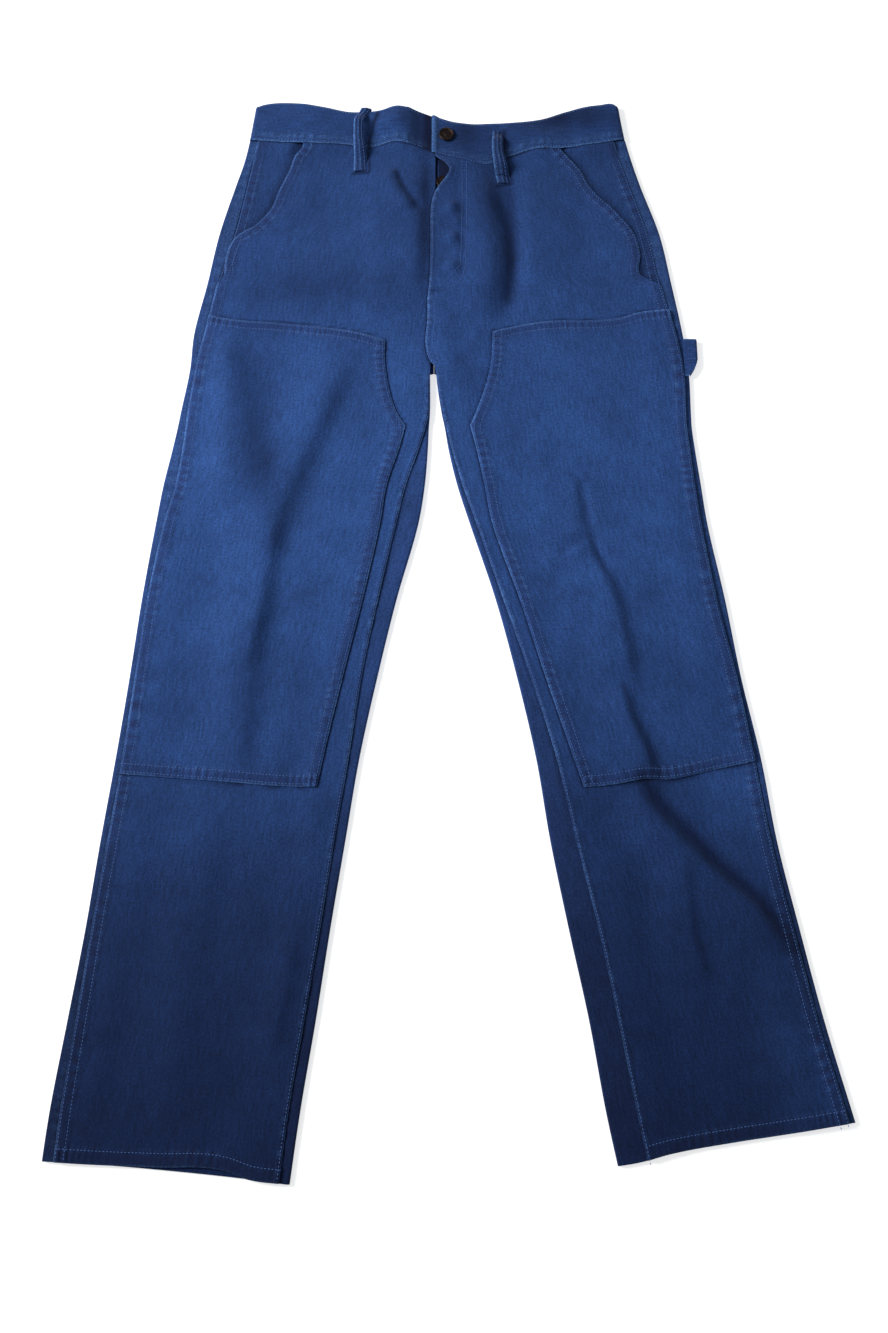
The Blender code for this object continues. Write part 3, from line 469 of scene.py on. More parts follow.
class Leg:
    """One side of the garment: its tables, edges and surfaces."""

    def __init__(self, name, sign, sections, pocket, patch_top, patch_end, hems, creases):
        self.name = name
        self.sign = sign
        self.sections = sections
        self.pocket = pocket
        self.patch_top = patch_top
        self.patch_end = patch_end
        self.back_hem, self.front_hem = hems
        self.creases = creases
        self.seed = 1.0 if sign > 0 else 2.6

    def column(self, label, y):
        """Place x of an edge at many heights: the pocket, the fly, or one column of the section
        table, whose knee keeps its corner sharp."""
        if label == "pocket":
            return place_at(self.pocket, y)
        if label == "fly":
            return place_at(FLY_EDGE, y)
        stations = np.array([row.y for row in self.sections], dtype=float)
        values = np.array([getattr(row, label) for row in self.sections], dtype=float)
        if label == "knee":
            above = stations >= APEX_LINE
            below = stations <= APEX_LINE
            upper = reading(stations[above], values[above], y)
            lower = reading(stations[below], values[below], y)
            return np.where(np.asarray(y) > APEX_LINE, upper, lower)
        return reading(stations, values, y)

    def front_outer(self, y):
        """The front's outer edge: the pocket scoop, and the outseam below it."""
        end = min(mark[1] for mark in self.pocket)
        return np.where(np.asarray(y) > end, self.column("pocket", y), self.column("outseam", y))

    def front_inner(self, y):
        """The front's inner edge: the fly and crotch seam, and the inseam below them."""
        inner = self.column("inseam", y)
        if self.name == "right":
            return inner
        end = min(mark[1] for mark in FLY_EDGE)
        return np.where(np.asarray(y) > end, self.column("fly", y), inner)

    def path_down(self, label, top, bottom, step=9.0):
        """An edge as a path from one height down to another."""
        heights = np.linspace(top, bottom, max(3, int(abs(top - bottom) / step)))
        return [(float(self.column(label, y)), float(y)) for y in heights]

    def path_across(self, line, start, end, step=9.0):
        """A line across the leg as a path from one place to another."""
        places = np.linspace(start, end, max(3, int(abs(start - end) / step)))
        return [(float(x), float(height_at(line, x))) for x in places]

    def relief(self, x, y):
        """How far folds and creases lift the front, less its sag between the edges."""
        outer_reach = np.abs(x - self.front_outer(y)) - SAG_OUTER_START
        inner_reach = np.abs(x - self.front_inner(y)) - SAG_INNER_START
        lift = -SAG * smooth(outer_reach / SAG_RAMP) * smooth(inner_reach / SAG_RAMP)
        for crease in self.creases:
            lift += crease_lift(crease, x, y)
        lift += band_pull(x, y)
        if self.name == "left":
            low = smooth((y - FLY_FADE_LOW) / (FLY_FADE_HIGH - FLY_FADE_LOW))
            lift += FLY_RAISE * low * smooth((FLY_FAR - x) / (FLY_FAR - FLY_NEAR))
            for bump in FLY_BUMPS:
                gap = (x - bump.x) ** 2 + (y - bump.y) ** 2
                lift += bump.height * np.exp(-gap / bump.reach ** 2)
        return lift + unevenness(x, y, self.seed)

    def hem_at(self, x):
        """Height y of the front's hem."""
        return height_at(self.front_hem, x)

    def hem_lift(self, x, y):
        """Lift of the front where the hem is folded under it."""
        return HEM_LIFT * (1 - smooth((y - self.hem_at(x) - HEM_DEPTH) / HEM_STEP))

    def front_edges(self):
        """The sewn edges of the front panel."""
        hem_low = self.hem_at(self.column("outseam", -770.0))
        inner_low = self.hem_at(self.column("inseam", -780.0))
        pocket = self.path_down("pocket", 268, 110, 6)
        outseam = self.path_down("outseam", 98, float(hem_low))
        inseam = self.path_down("inseam", -8, float(inner_low))
        hem = self.path_across(self.front_hem, float(self.column("outseam", hem_low)),
                               float(self.column("inseam", inner_low)))
        edges = [
            Edge(pocket, POCKET_ROWS, 9.0, 0.35, 1.0),
            Edge(outseam, OUTSEAM_ROWS, 12.0, 0.35, 2.0),
            Edge(inseam, INSEAM_ROWS, 13.0, 0.35, 3.0),
            Edge(hem, (11.5,), 6.8, 0.6, 4.0),
        ]
        if self.name == "left":
            fly = self.path_down("fly", 260, 4, 6)
            edges.append(Edge(fly, (2.2,), 11.0, 0.1, 5.0))
        return edges

    def patch_corners(self):
        """Ends of the patch's top and bottom edges at the outseam and at its inner edge."""
        def meet(line, label):
            y = 0.0 if line is self.patch_top else -430.0
            for _ in range(SETTLING_STEPS):
                y = float(height_at(line, float(self.column(label, y))))
            return float(self.column(label, y)), y
        return {(end, label): meet(line, label)
                for end, line in (("top", self.patch_top), ("low", self.patch_end))
                for label in ("outseam", "knee")}

    def patch_edges(self):
        """The sewn edges of the knee patch."""
        corner = self.patch_corners()
        top = self.path_across(self.patch_top, corner["top", "outseam"][0], corner["top", "knee"][0])
        low = self.path_across(self.patch_end, corner["low", "outseam"][0], corner["low", "knee"][0])
        upper = self.path_down("knee", corner["top", "knee"][1], APEX_LINE, 5)
        lower = self.path_down("knee", APEX_LINE, corner["low", "knee"][1])
        outer = self.path_down("outseam", corner["top", "outseam"][1], corner["low", "outseam"][1])
        return [
            Edge(top, (2.4, 9.2), 6.2, 0.5, 1.0),
            Edge(low, (2.6, 10.0), 6.6, 0.65, 2.0),
            Edge(upper + lower[1:], (2.4, 9.0), 8.0, 0.45, 3.0),
            Edge(outer, OUTSEAM_ROWS, 12.0, 0.35, 2.0),
        ]

    def surface(self, x, y, edges, lift):
        """Height, wear and gathering of a panel at many points."""
        z = FRONT_TOP + lift + self.relief(x, y)
        wear = np.zeros(np.shape(x))
        gather = np.zeros(np.shape(x))
        for edge in edges:
            edge_lift, edge_wear, edge_gather = sewn_edge(edge, x, y)
            z += edge_lift
            wear = np.maximum(wear, edge_wear)
            gather = np.maximum(gather, edge_gather)
        return z, wear, gather

    def on_patch(self, x, y):
        """Whether points lie on the knee patch."""
        inside = (y < height_at(self.patch_top, x)) & (y > height_at(self.patch_end, x))
        return inside & ((x - self.column("knee", y)) * self.sign > 0)

    def face(self, x, y):
        """Top of whatever shows of this leg's face."""
        front = self.surface(x, y, self.front_edges(), 0.0)[0]
        front += self.hem_lift(x, y)
        patch = self.surface(x, y, self.patch_edges(), PATCH_LIFT)[0]
        z = np.where(self.on_patch(x, y), patch, front)
        on_facing = (y > POCKET_END) & ((x - place_at(self.pocket, y)) * self.sign > 0)
        return np.where(on_facing, LEG_EDGE + 0.1, z)


RIGHT = Leg("right", -1, RIGHT_LEG, RIGHT_POCKET, RIGHT_PATCH_TOP, RIGHT_PATCH_END,
            (RIGHT_HEM, RIGHT_FRONT_HEM), RIGHT_CREASES)
LEFT = Leg("left", 1, LEFT_LEG, LEFT_POCKET, LEFT_PATCH_TOP, LEFT_PATCH_END,
           (LEFT_HEM, LEFT_HEM), LEFT_CREASES)
LEGS = (RIGHT, LEFT)


def settled(across, share, line):
    """Height y at which each column of a grid, across(share, y), meets a line."""
    y = line(across(share, np.zeros_like(share)))
    for _ in range(SETTLING_STEPS):
        y = line(across(share, y))
    return y


def between_lines(across, share, down, lines, counts):
    """Height y of grid points: the columns are cut into rows between neighbouring lines."""
    marks = [settled(across, share, line) for line in lines]
    rows = down * sum(counts)
    y = marks[0].copy()
    start = 0
    for upper, lower, count in zip(marks, marks[1:], counts):
        part = np.clip((rows - start) / count, 0, 1)
        y += (lower - upper) * eased(part, 0.6)
        start += count
    return y


# What a shell's points carry: place, place on the cloth as cut, wear, gathering, and how much
# painted shade darkens them
Cloth = namedtuple("Cloth", "x y z u v wear gather deep", defaults=(0.0,))


def add_node(tree, kind, inputs=(), **settings):
    """Add a node with its settings; an input is a value or another node's output."""
    node = tree.nodes.new(kind)
    for name, value in settings.items():
        setattr(node, name, value)
    for socket, value in dict(inputs).items():
        if isinstance(value, bpy.types.NodeSocket):
            tree.links.new(value, node.inputs[socket])
        else:
            node.inputs[socket].default_value = value
    return node


def blank_material(name):
    """A material with its Principled shader."""
    material = bpy.data.materials.new(name)
    material.use_nodes = True
    return material, material.node_tree, material.node_tree.nodes["Principled BSDF"]


def cells(tree, place, across, along):
    """A vector counted in cells of a size in metres."""
    return add_node(tree, "ShaderNodeMapping", {0: place, 3: (1 / across, 1 / along, 1)}).outputs[0]


def noise(tree, place, scale, detail, roughness=0.5):
    """Noise over a vector."""
    inputs = {"Vector": place, "Scale": scale, "Detail": detail, "Roughness": roughness}
    return add_node(tree, "ShaderNodeTexNoise", inputs).outputs[0]


def remapped(tree, value, start, end, low=0.0, high=1.0):
    """A value that lies from low to high, moved to lie from start to end."""
    inputs = {0: value, 1: low, 2: high, 3: start, 4: end}
    return add_node(tree, "ShaderNodeMapRange", inputs).outputs[0]


def mixed(tree, share, first, second):
    """A colour between two, each a colour or another node's output."""
    tints = [tint if isinstance(tint, bpy.types.NodeSocket) else (*tint, 1) for tint in (first, second)]
    inputs = {0: share, 6: tints[0], 7: tints[1]}
    return add_node(tree, "ShaderNodeMix", inputs, data_type="RGBA").outputs[2]


def product(tree, first, second, **settings):
    """Two values multiplied."""
    inputs = {0: first, 1: second}
    return add_node(tree, "ShaderNodeMath", inputs, operation="MULTIPLY", **settings).outputs[0]


def point_value(tree, name):
    """A value that the cloth's points carry."""
    return add_node(tree, "ShaderNodeAttribute", attribute_name=name).outputs["Fac"]


def give_colour(tree, shader, colour, level):
    """Give a shader a colour, made lighter or darker by a level."""
    scaled = add_node(tree, "ShaderNodeVectorMath", {0: colour, "Scale": level}, operation="SCALE")
    tree.links.new(scaled.outputs[0], shader.inputs["Base Color"])


def give_relief(tree, shader, height, strength, distance):
    """Give a shader relief that is too fine for geometry."""
    inputs = {"Height": height, "Strength": strength, "Distance": distance}
    bump = add_node(tree, "ShaderNodeBump", inputs)
    tree.links.new(bump.outputs[0], shader.inputs["Normal"])


# What is left of the twill's red, green and blue, and of the colours of gathered and rubbed
# cloth, where the cloth is darkest: least washed and deepest in painted shade
DARKEST_SHARES = (0.02, 0.04, 0.1)
DARKEST_PALE_SHARE = 0.2

# Sizes in metres of the slubs along the warp, of the specks, and of the rib
SLUB = (0.0022, 0.016)
SPECK = (0.0017, 0.0022)
# The real rib is 0.5 mm apart; it is drawn at 1 mm so that it shows at all
RIB = 0.001
RIB_TURN = math.radians(33)
WAVES_IN_A_UNIT = 3.18


def garment_dyed_twill(name, painted_shade_level):
    """Garment-dyed cotton twill, washed: a matt face with uneven dye, fine slubs down the
    warp, a faint diagonal rib, pale rubbed edges and greyer gathered seams, darker where the
    fade attribute brings less washing and painted shade."""
    settings = bpy.context.scene.pants_cloth
    material, tree, shader = blank_material(name)
    cloth = add_node(tree, "ShaderNodeUVMap", uv_map="cloth").outputs[0]
    slubs = noise(tree, cells(tree, cloth, *SLUB), 1.0, 3.0, 0.6)
    specks = noise(tree, cells(tree, cloth, *SPECK), 1.0, 2.0, 0.7)
    clouds = noise(tree, cloth, 17.0, 4.0, 0.55)
    rib_at = add_node(tree, "ShaderNodeMapping", {0: cloth, 2: (0, 0, RIB_TURN)}).outputs[0]
    rib = add_node(tree, "ShaderNodeTexWave", {"Vector": rib_at, "Scale": 1 / RIB / WAVES_IN_A_UNIT,
                                               "Distortion": 1.2, "Detail": 1.0})
    # Uneven dye: from thread to thread, from speck to speck, and in clouds
    level = product(tree, remapped(tree, slubs, 0.78, 1.24, 0.3, 0.7),
                    remapped(tree, specks, 0.64, 1.38, 0.3, 0.7))
    level = product(tree, level, remapped(tree, clouds, 0.86, 1.15, 0.3, 0.7))
    # Darker where the twill was washed out less, and where painted shade falls on it
    fade = point_value(tree, "fade")
    shade = [part * painted_shade_level for part in settings.twill]
    full = [part * share for part, share in zip(shade, DARKEST_SHARES)]
    dyed = mixed(tree, fade, full, shade)
    seam = mixed(tree, fade, [part * DARKEST_PALE_SHARE for part in settings.seam], settings.seam)
    worn = mixed(tree, fade, [part * DARKEST_PALE_SHARE for part in settings.worn], settings.worn)
    # Greyer in the gathers, partly painted shade in their troughs, and rubbed pale speck by speck on the
    # edges
    seamed = mixed(tree, point_value(tree, "gather"), dyed, seam)
    thinned = remapped(tree, specks, 0.25, 1.15, 0.3, 0.7)
    rubbed = mixed(tree, product(tree, point_value(tree, "wear"), thinned, use_clamp=True), seamed, worn)
    give_colour(tree, shader, rubbed, level)
    # The weave's relief: the rib over slubs and specks
    grain = add_node(tree, "ShaderNodeMath", {0: slubs, 1: specks}, operation="ADD")
    weave = add_node(tree, "ShaderNodeMath", {0: rib.outputs[1], 1: 0.4, 2: grain.outputs[0]},
                     operation="MULTIPLY_ADD")
    give_relief(tree, shader, weave.outputs[0], 0.35, 0.0006)
    # Matt, with a faint nap
    tree.links.new(remapped(tree, specks, 0.8, 0.95), shader.inputs["Roughness"])
    shader.inputs["Sheen Weight"].default_value = 0.05
    shader.inputs["Sheen Roughness"].default_value = 0.5
    shader.inputs["Specular IOR Level"].default_value = 0.14
    return material


def spun_polyester_thread():
    """Spun polyester core thread, dyed with the cloth: matt, with a faint twist."""
    settings = bpy.context.scene.pants_sewing
    material, tree, shader = blank_material("spun_polyester_thread")
    place = add_node(tree, "ShaderNodeTexCoord").outputs["Object"]
    twist = noise(tree, place, 1 / 0.0012, 2.0)
    give_colour(tree, shader, tuple(settings.thread), remapped(tree, twist, 0.7, 1.3))
    give_relief(tree, shader, twist, 0.3, 0.0002)
    shader.inputs["Roughness"].default_value = 0.7
    return material


def patinated_copper():
    """Stamped copper, dulled by wash and wear: brown, stained unevenly."""
    material, tree, shader = blank_material("patinated_copper")
    place = add_node(tree, "ShaderNodeTexCoord").outputs["Object"]
    stain = noise(tree, place, 420.0, 4.0)
    colour = mixed(tree, remapped(tree, stain, 0, 1, 0.35, 0.65), linear("#1c1718"), linear("#3e302b"))
    tree.links.new(colour, shader.inputs["Base Color"])
    tree.links.new(remapped(tree, stain, 0.35, 0.6), shader.inputs["Roughness"])
    give_relief(tree, shader, stain, 0.2, 0.0002)
    shader.inputs["Metallic"].default_value = 0.85
    return material


def material_named(name, make, *values):
    """The material of that name, made the first time it is asked for."""
    found = bpy.data.materials.get(name)
    return found if found else make(*values)


def twill():
    """The twill that shows."""
    return material_named("garment_dyed_twill", garment_dyed_twill, "garment_dyed_twill", 1.0)


def twill_painted_darker():
    """The twill of the inner layers, a copy painted a little darker as shade."""
    return material_named("inner_twill", garment_dyed_twill, "inner_twill", 0.95)


# How light the twill is down the garment: thighs washed paler, and painted shade that darkens the hips
# and, most, the shins towards the hems
WASH_AND_PAINTED_SHADE = ((320, 0.74), (200, 0.74), (80, 0.88), (-60, 1.0), (-240, 0.93), (-430, 0.66), (-560, 0.34),
        (-680, 0.24), (-790, 0.21))

# Spots of painted shade, and of painted light where the loss is negative: the share of lightness lost,
# and the reaches
Deep = namedtuple("Deep", "x y loss reach_x reach_y")
PAINTED_LIGHT_AND_SHADE_SPOTS = tuple(Deep(*row) for row in (
    (30, 284, 0.62, 28, 25), (60, 210, 0.42, 17, 46), (18, 185, 0.3, 18, 60), (-14, 180, 0.3, 13, 90),
    (-9, 180, 0.4, 6, 80), (-12, 292, 0.5, 8, 30), (140, 305, 0.7, 64, 19), (80, 282, 0.3, 24, 20),
    (81, 140, 0.5, 9, 56), (206, -445, 0.4, 13, 34), (-178, -368, 0.35, 13, 50),
    (-168, -115, 0.35, 13, 34), (-186, -30, 0.15, 34, 80), (-180, -110, 0.25, 20, 50),
    (-118, 96, 0.4, 60, 26), (-192, 200, 0.2, 14, 30), (150, -470, 0.25, 50, 60),
    (262, -470, 0.25, 40, 50), (352, -690, -1.1, 52, 90), (290, -455, -0.6, 40, 56),
    (-205, -420, -0.15, 50, 50), (27, 184, 0.35, 5, 9), (28, 148, 0.35, 5, 9), (27, 114, 0.3, 5, 8),
    (2, 90, 0.5, 8, 2.2),
))

# Painted shade on the dark sides of the sharpest folds: the path, how wide it is, and how much lightness
# is lost
PaintedFoldShade = namedtuple("PaintedFoldShade", "path reach loss")
PAINTED_FOLD_SHADE = tuple(PaintedFoldShade(*row) for row in (
    (((196, -428), (206, -444), (228, -468), (262, -505), (304, -546), (332, -590)), 6.5, 0.6),
    (((184, -340), (192, -374), (203, -395), (213, -430)), 4.5, 0.45),
    (((166, -206), (182, -253), (190, -294), (196, -334)), 5, 0.3),
    (((-80, 14), (-104, -42), (-122, -92), (-141, -140), (-157, -195)), 9, 0.22),
    (((148, -125), (157, -181), (125, -203)), 3, 0.3),
    (((157, -184), (172, -227)), 3, 0.3),
    (((-40, 232), (-28, 208), (-12, 184)), 4, 0.32),
    (((80, 215), (84, 164), (83, 127), (79, 80)), 6, 0.35),
))


def wash_and_painted_shade_at(x, y):
    """How light the twill is at many points, from washing and from painted shade and light."""
    level = reading([mark[0] for mark in WASH_AND_PAINTED_SHADE], [mark[1] for mark in WASH_AND_PAINTED_SHADE], np.asarray(y))
    for deep in PAINTED_LIGHT_AND_SHADE_SPOTS:
        across = (x - deep.x) / deep.reach_x
        down = (y - deep.y) / deep.reach_y
        level = level * (1 - deep.loss * np.exp(-across ** 2 - down ** 2))
    for fold in PAINTED_FOLD_SHADE:
        level = level * (1 - painted_shade_along([fold.path], x, y, fold.reach, fold.loss))
    return 1 - bpy.context.scene.pants_cloth.wash_and_painted_shade_strength * (1 - level)


# Edges turned by more than this stay sharp
SHARP_ANGLE = math.radians(50)


def placed(name, data):
    """A new object in the scene."""
    item = bpy.data.objects.new(name, data)
    bpy.context.collection.objects.link(item)
    return item


def mesh_of(name, shape):
    """The mesh of a bmesh, which is let go."""
    mesh = bpy.data.meshes.new(name)
    shape.to_mesh(mesh)
    shape.free()
    return mesh


def shell(name, columns, rows, place, up, wall, thick_rows=0):
    """A shell of cloth: a grid whose points place(across, down) moves, given its wall inwards.
    up(z) picks the faces that look up, and thick_rows at the hem have a double wall."""
    grid = bmesh.new()
    bmesh.ops.create_grid(grid, x_segments=columns, y_segments=rows, size=0.5)
    mesh = mesh_of(name, grid)
    count = len(mesh.vertices)
    flat = np.empty(count * 3)
    mesh.vertices.foreach_get("co", flat)
    across = np.round((flat[0::3] + 0.5) * columns) / columns
    down = np.round((0.5 - flat[1::3]) * rows) / rows
    cloth = place(across, down)
    points = np.column_stack((cloth.x + CROTCH_X, cloth.y + CROTCH_Y, cloth.z)) * MM
    mesh.vertices.foreach_set("co", points.ravel())
    corners = np.empty(len(mesh.loops), dtype=np.int32)
    mesh.loops.foreach_get("vertex_index", corners)
    layer = mesh.uv_layers.new(name="cloth")
    layer.uv.foreach_set("vector", (np.column_stack((cloth.u, cloth.v))[corners] * MM).ravel())
    # The fade attribute carries the washing together with the painted shade and light
    fade = (1 - cloth.deep) * wash_and_painted_shade_at(cloth.x, cloth.y)
    for label, values in (("wear", cloth.wear), ("gather", cloth.gather), ("fade", fade)):
        attribute = mesh.attributes.new(label, "FLOAT", "POINT")
        attribute.data.foreach_set("value", np.clip(values, 0, 1).astype(np.float32))
    mesh.update()
    normals = np.empty(len(mesh.polygons) * 3)
    centres = np.empty(len(mesh.polygons) * 3)
    mesh.polygons.foreach_get("normal", normals)
    mesh.polygons.foreach_get("center", centres)
    chosen = up(centres[2::3] / MM)
    if normals[2::3][chosen].sum() < 0:
        mesh.flip_normals()
    item = placed(name, mesh)
    solidify = item.modifiers.new("wall", "SOLIDIFY")
    solidify.offset = -1.0
    solidify.thickness = wall
    if thick_rows:
        solidify.thickness = 2 * wall
        group = item.vertex_groups.new(name="wall")
        doubled = np.flatnonzero(down * rows >= rows - thick_rows)
        group.add(range(count), 0.5, "REPLACE")
        group.add([int(index) for index in doubled], 1.0, "REPLACE")
        solidify.vertex_group = group.name
        solidify.thickness_vertex_group = 0.0
    return bake_modifiers(item)


def bake_modifiers(item):
    """Keep the mesh that the modifiers make, and smooth it but for its cut edges."""
    graph = bpy.context.evaluated_depsgraph_get()
    mesh = bpy.data.meshes.new_from_object(item.evaluated_get(graph), depsgraph=graph)
    name = item.name
    bpy.data.objects.remove(item, do_unlink=True)
    mesh.name = name
    mesh.shade_smooth()
    mesh.set_sharp_from_angle(angle=SHARP_ANGLE)
    item = placed(name, mesh)
    return item


def finish_cloth(item, material, node):
    """Give a shell its material and its place in the garment."""
    item.data.materials.clear()
    item.data.materials.append(material)
    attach(item, "root")
    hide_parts(node)


def cut_of(inner, outer, top, bottom, allowance=12.0):
    """Width, length and area of a panel as it was cut, in metres, from its finished edges."""
    heights = np.linspace(top, bottom, 60)
    widths = np.abs(outer(heights) - inner(heights)) + 2 * allowance
    length = abs(top - bottom) + 2 * allowance
    return (float(widths.max()) * MM, length * MM), float(widths.mean()) * length * MM * MM


# The rolled seam at a back panel's edge: its gathers, the lift that they may add, and the wear
# and the greyer dye there
ROLL_PITCH = 12.0
ROLL_LIFT = 0.12
ROLL_LIMIT = 0.15
ROLL_WEAR = 0.35
ROLL_DYE = 0.3

# Columns and rows of the grids; a tuple counts the rows between one line and the next
FRONT_COLUMNS = 112
FRONT_ROWS = (322, 1, 12)
PATCH_COLUMNS = 104
PATCH_ROWS = (52, 140)
STRIP_COLUMNS = 6
CURL_COLUMNS = 10
FLOOR_COLUMNS = 12
BACK_ROWS = (70, 190, 1, 8)
FACING_COLUMNS = 44
FACING_ROWS = (80,)
UNDERLAP_COLUMNS = 20
UNDERLAP_ROWS = 60
BAND_ROWS = 30
LOOP_COLUMNS = 22
LOOP_ROWS = 90
HAMMER_ROWS = 30

# Walls of the doubled pieces, in metres
BAND_CLOTH = 2.0 * MM
STRAP_CLOTH = 1.5 * MM

# How far apart in the cloth's own frame the pieces are cut, so that no grain repeats
PATCH_CUT = 500
BACK_CUT = 1000
FACING_CUT = 1500
UNDERLAP_CUT = 2000
BAND_CUT = 2500
LOOP_CUT = 3000
HAMMER_CUT = 3500


def make_front(leg):
    """Front panel: the pocket scoop or outseam at one side, the fly and inseam at the other."""
    edges = leg.front_edges()
    # Painted shadow along the edges of the patch, the waistband and the belt loops that lie on top, and
    # on the right front the fly's
    painted_shadow_edges = [edge.path for edge in leg.patch_edges()[:3]] + [BAND_SEAM] + LOOP_SHADOW_SIDES
    if leg is RIGHT:
        painted_shadow_edges.append(LEFT.path_down("fly", 260, 4, 6))

    def across_at(share, y):
        outer = leg.front_outer(y)
        return outer + (leg.front_inner(y) - outer) * eased(share, 0.55)

    lines = (lambda x: height_at(BAND_SEAM, x) - CLEAR,
             lambda x: leg.hem_at(x) + HEM_DEPTH + HEM_STEP,
             lambda x: leg.hem_at(x) + HEM_DEPTH,
             leg.hem_at)

    def place(across, down):
        y = between_lines(across_at, across, down, lines, FRONT_ROWS)
        x = across_at(across, y)
        z, wear, gather = leg.surface(x, y, edges, 0.0)
        z += leg.hem_lift(x, y)
        middle = (leg.front_outer(y) + leg.front_inner(y)) / 2
        return Cloth(x, y, z, x - middle, y, wear, gather, painted_shade_along(painted_shadow_edges, x, y))

    item = shell(f"front_{leg.name}_twill", FRONT_COLUMNS, sum(FRONT_ROWS), place, lambda z: z > 0,
                 bpy.context.scene.pants_cloth.wall)
    flat, area = cut_of(leg.front_inner, leg.front_outer, 270, -770)
    finish_cloth(item, twill(), f"front_{leg.name}")


def make_patch(leg):
    """Knee patch: the second layer over the thigh and knee, with a corner at its inner edge."""
    edges = leg.patch_edges()

    def across_at(share, y):
        outer = leg.column("outseam", y)
        return outer + (leg.column("knee", y) - outer) * eased(share, 0.5)

    lines = (lambda x: height_at(leg.patch_top, x), lambda x: np.full_like(x, APEX_LINE),
             lambda x: height_at(leg.patch_end, x))

    def place(across, down):
        y = between_lines(across_at, across, down, lines, PATCH_ROWS)
        x = across_at(across, y)
        z, wear, gather = leg.surface(x, y, edges, PATCH_LIFT)
        middle = (leg.column("outseam", y) + leg.column("inseam", y)) / 2
        return Cloth(x, y, z, x - middle + PATCH_CUT, y, wear, gather)

    item = shell(f"knee_patch_{leg.name}_twill", PATCH_COLUMNS, sum(PATCH_ROWS), place,
                 lambda z: z > 0, bpy.context.scene.pants_cloth.wall)
    flat, area = cut_of(lambda y: leg.column("knee", y), lambda y: leg.column("outseam", y), 50, -430)
    finish_cloth(item, twill(), f"knee_patch_{leg.name}")


def make_back(leg):
    """Back panel: flat underneath, rolled round the leg's edges to the seams on the face."""
    radius = LEG_EDGE / 2
    sign = leg.sign
    # Edges of the front, beside which the roll is given a painted shadow
    painted_shadow_edges = [edge.path for edge in leg.front_edges()[1:3]]
    counts = (STRIP_COLUMNS, CURL_COLUMNS, FLOOR_COLUMNS, CURL_COLUMNS, STRIP_COLUMNS)
    columns = sum(counts)
    starts = np.cumsum((0,) + counts)

    def lap(y):
        return -SEAM_GAP + (SEAM_LAP + SEAM_GAP) * smooth((STRIP_BUTT_END - y) / STRIP_LAP_FADE)

    def profile(share, y):
        column = share * columns
        part = [np.clip((column - start) / count, 0, 1) for start, count in zip(starts, counts)]
        outer_centre = leg.column("outline", y) - sign * radius
        inner_centre = leg.column("inner", y) + sign * radius
        strip = leg.column("outseam", y) - sign * lap(y)
        floor_end = np.where(y > CROTCH_LINE + 0.01, sign * SEAM_GAP, inner_centre)
        seam = leg.column("inseam", y) + sign * SEAM_LAP
        turn = np.pi * part[1]
        back_turn = np.pi * part[3]
        x = strip + (outer_centre - strip) * part[0]
        x = np.where(column > starts[1], outer_centre + sign * radius * np.sin(turn), x)
        x = np.where(column > starts[2], outer_centre + (floor_end - outer_centre) * part[2], x)
        x = np.where(column > starts[3], inner_centre - sign * radius * np.sin(back_turn), x)
        x = np.where(column > starts[4], inner_centre + (seam - inner_centre) * part[4], x)
        fall = radius * np.where(column > starts[3], -np.cos(back_turn), np.cos(turn))
        return x, radius + fall

    def across_at(share, y):
        return profile(share, y)[0]

    def hem(x):
        return height_at(leg.back_hem, x)

    lines = (lambda x: back_seam(x) - CLEAR, lambda x: np.full_like(x, CROTCH_LINE),
             lambda x: hem(x) + HEM_DEPTH + HEM_STEP, lambda x: hem(x) + HEM_DEPTH, hem)

    def place(across, down):
        y = between_lines(across_at, across, down, lines, BACK_ROWS)
        x, z = profile(across, y)
        raised = smooth(z / LEG_EDGE * 2 - 1)
        wave = gathers(-y, ROLL_PITCH, 1.0 + leg.seed)
        ripple = 0.5 * unevenness(x, y, leg.seed + 3) + ROLL_LIFT * wave
        z = z + raised * np.minimum(ripple, ROLL_LIMIT)
        middle = (leg.column("outline", y) + leg.column("inner", y)) / 2
        # Only the outseam's side is rubbed
        wear = ROLL_WEAR * raised * (0.5 + 0.5 * wave) * (1 - smooth(across * 12 - 1))
        return Cloth(x, y, z, x - middle + z + BACK_CUT, y, wear, ROLL_DYE * raised,
                     painted_shade_along(painted_shadow_edges, x, y, 1.4, 0.6) * raised)

    item = shell(f"back_{leg.name}_twill", columns, sum(BACK_ROWS), place,
                 lambda z: z > LEG_EDGE * 0.9, bpy.context.scene.pants_cloth.wall,
                 thick_rows=BACK_ROWS[-1])
    open_centre(item, leg, starts[3] / columns)
    flat, area = cut_of(lambda y: leg.column("inner", y) - leg.sign * 10,
                        lambda y: leg.column("outline", y) + leg.sign * 10, 265, -770)
    finish_cloth(item, twill(), f"back_{leg.name}")


def open_centre(item, leg, share):
    """Take away the inner roll above the crotch, where the two backs meet at the centre."""
    cloth = bmesh.new()
    cloth.from_mesh(item.data)
    edge = (CROTCH_Y + CROTCH_LINE) * MM
    floor_end = CROTCH_X * MM
    above = [face for face in cloth.faces
             if face.calc_center_median().y > edge
             and (face.calc_center_median().x - floor_end) * leg.sign < 0.0005
             and face.calc_center_median().z > 0.0012]
    bmesh.ops.delete(cloth, geom=above, context="FACES")
    cloth.to_mesh(item.data)
    cloth.free()


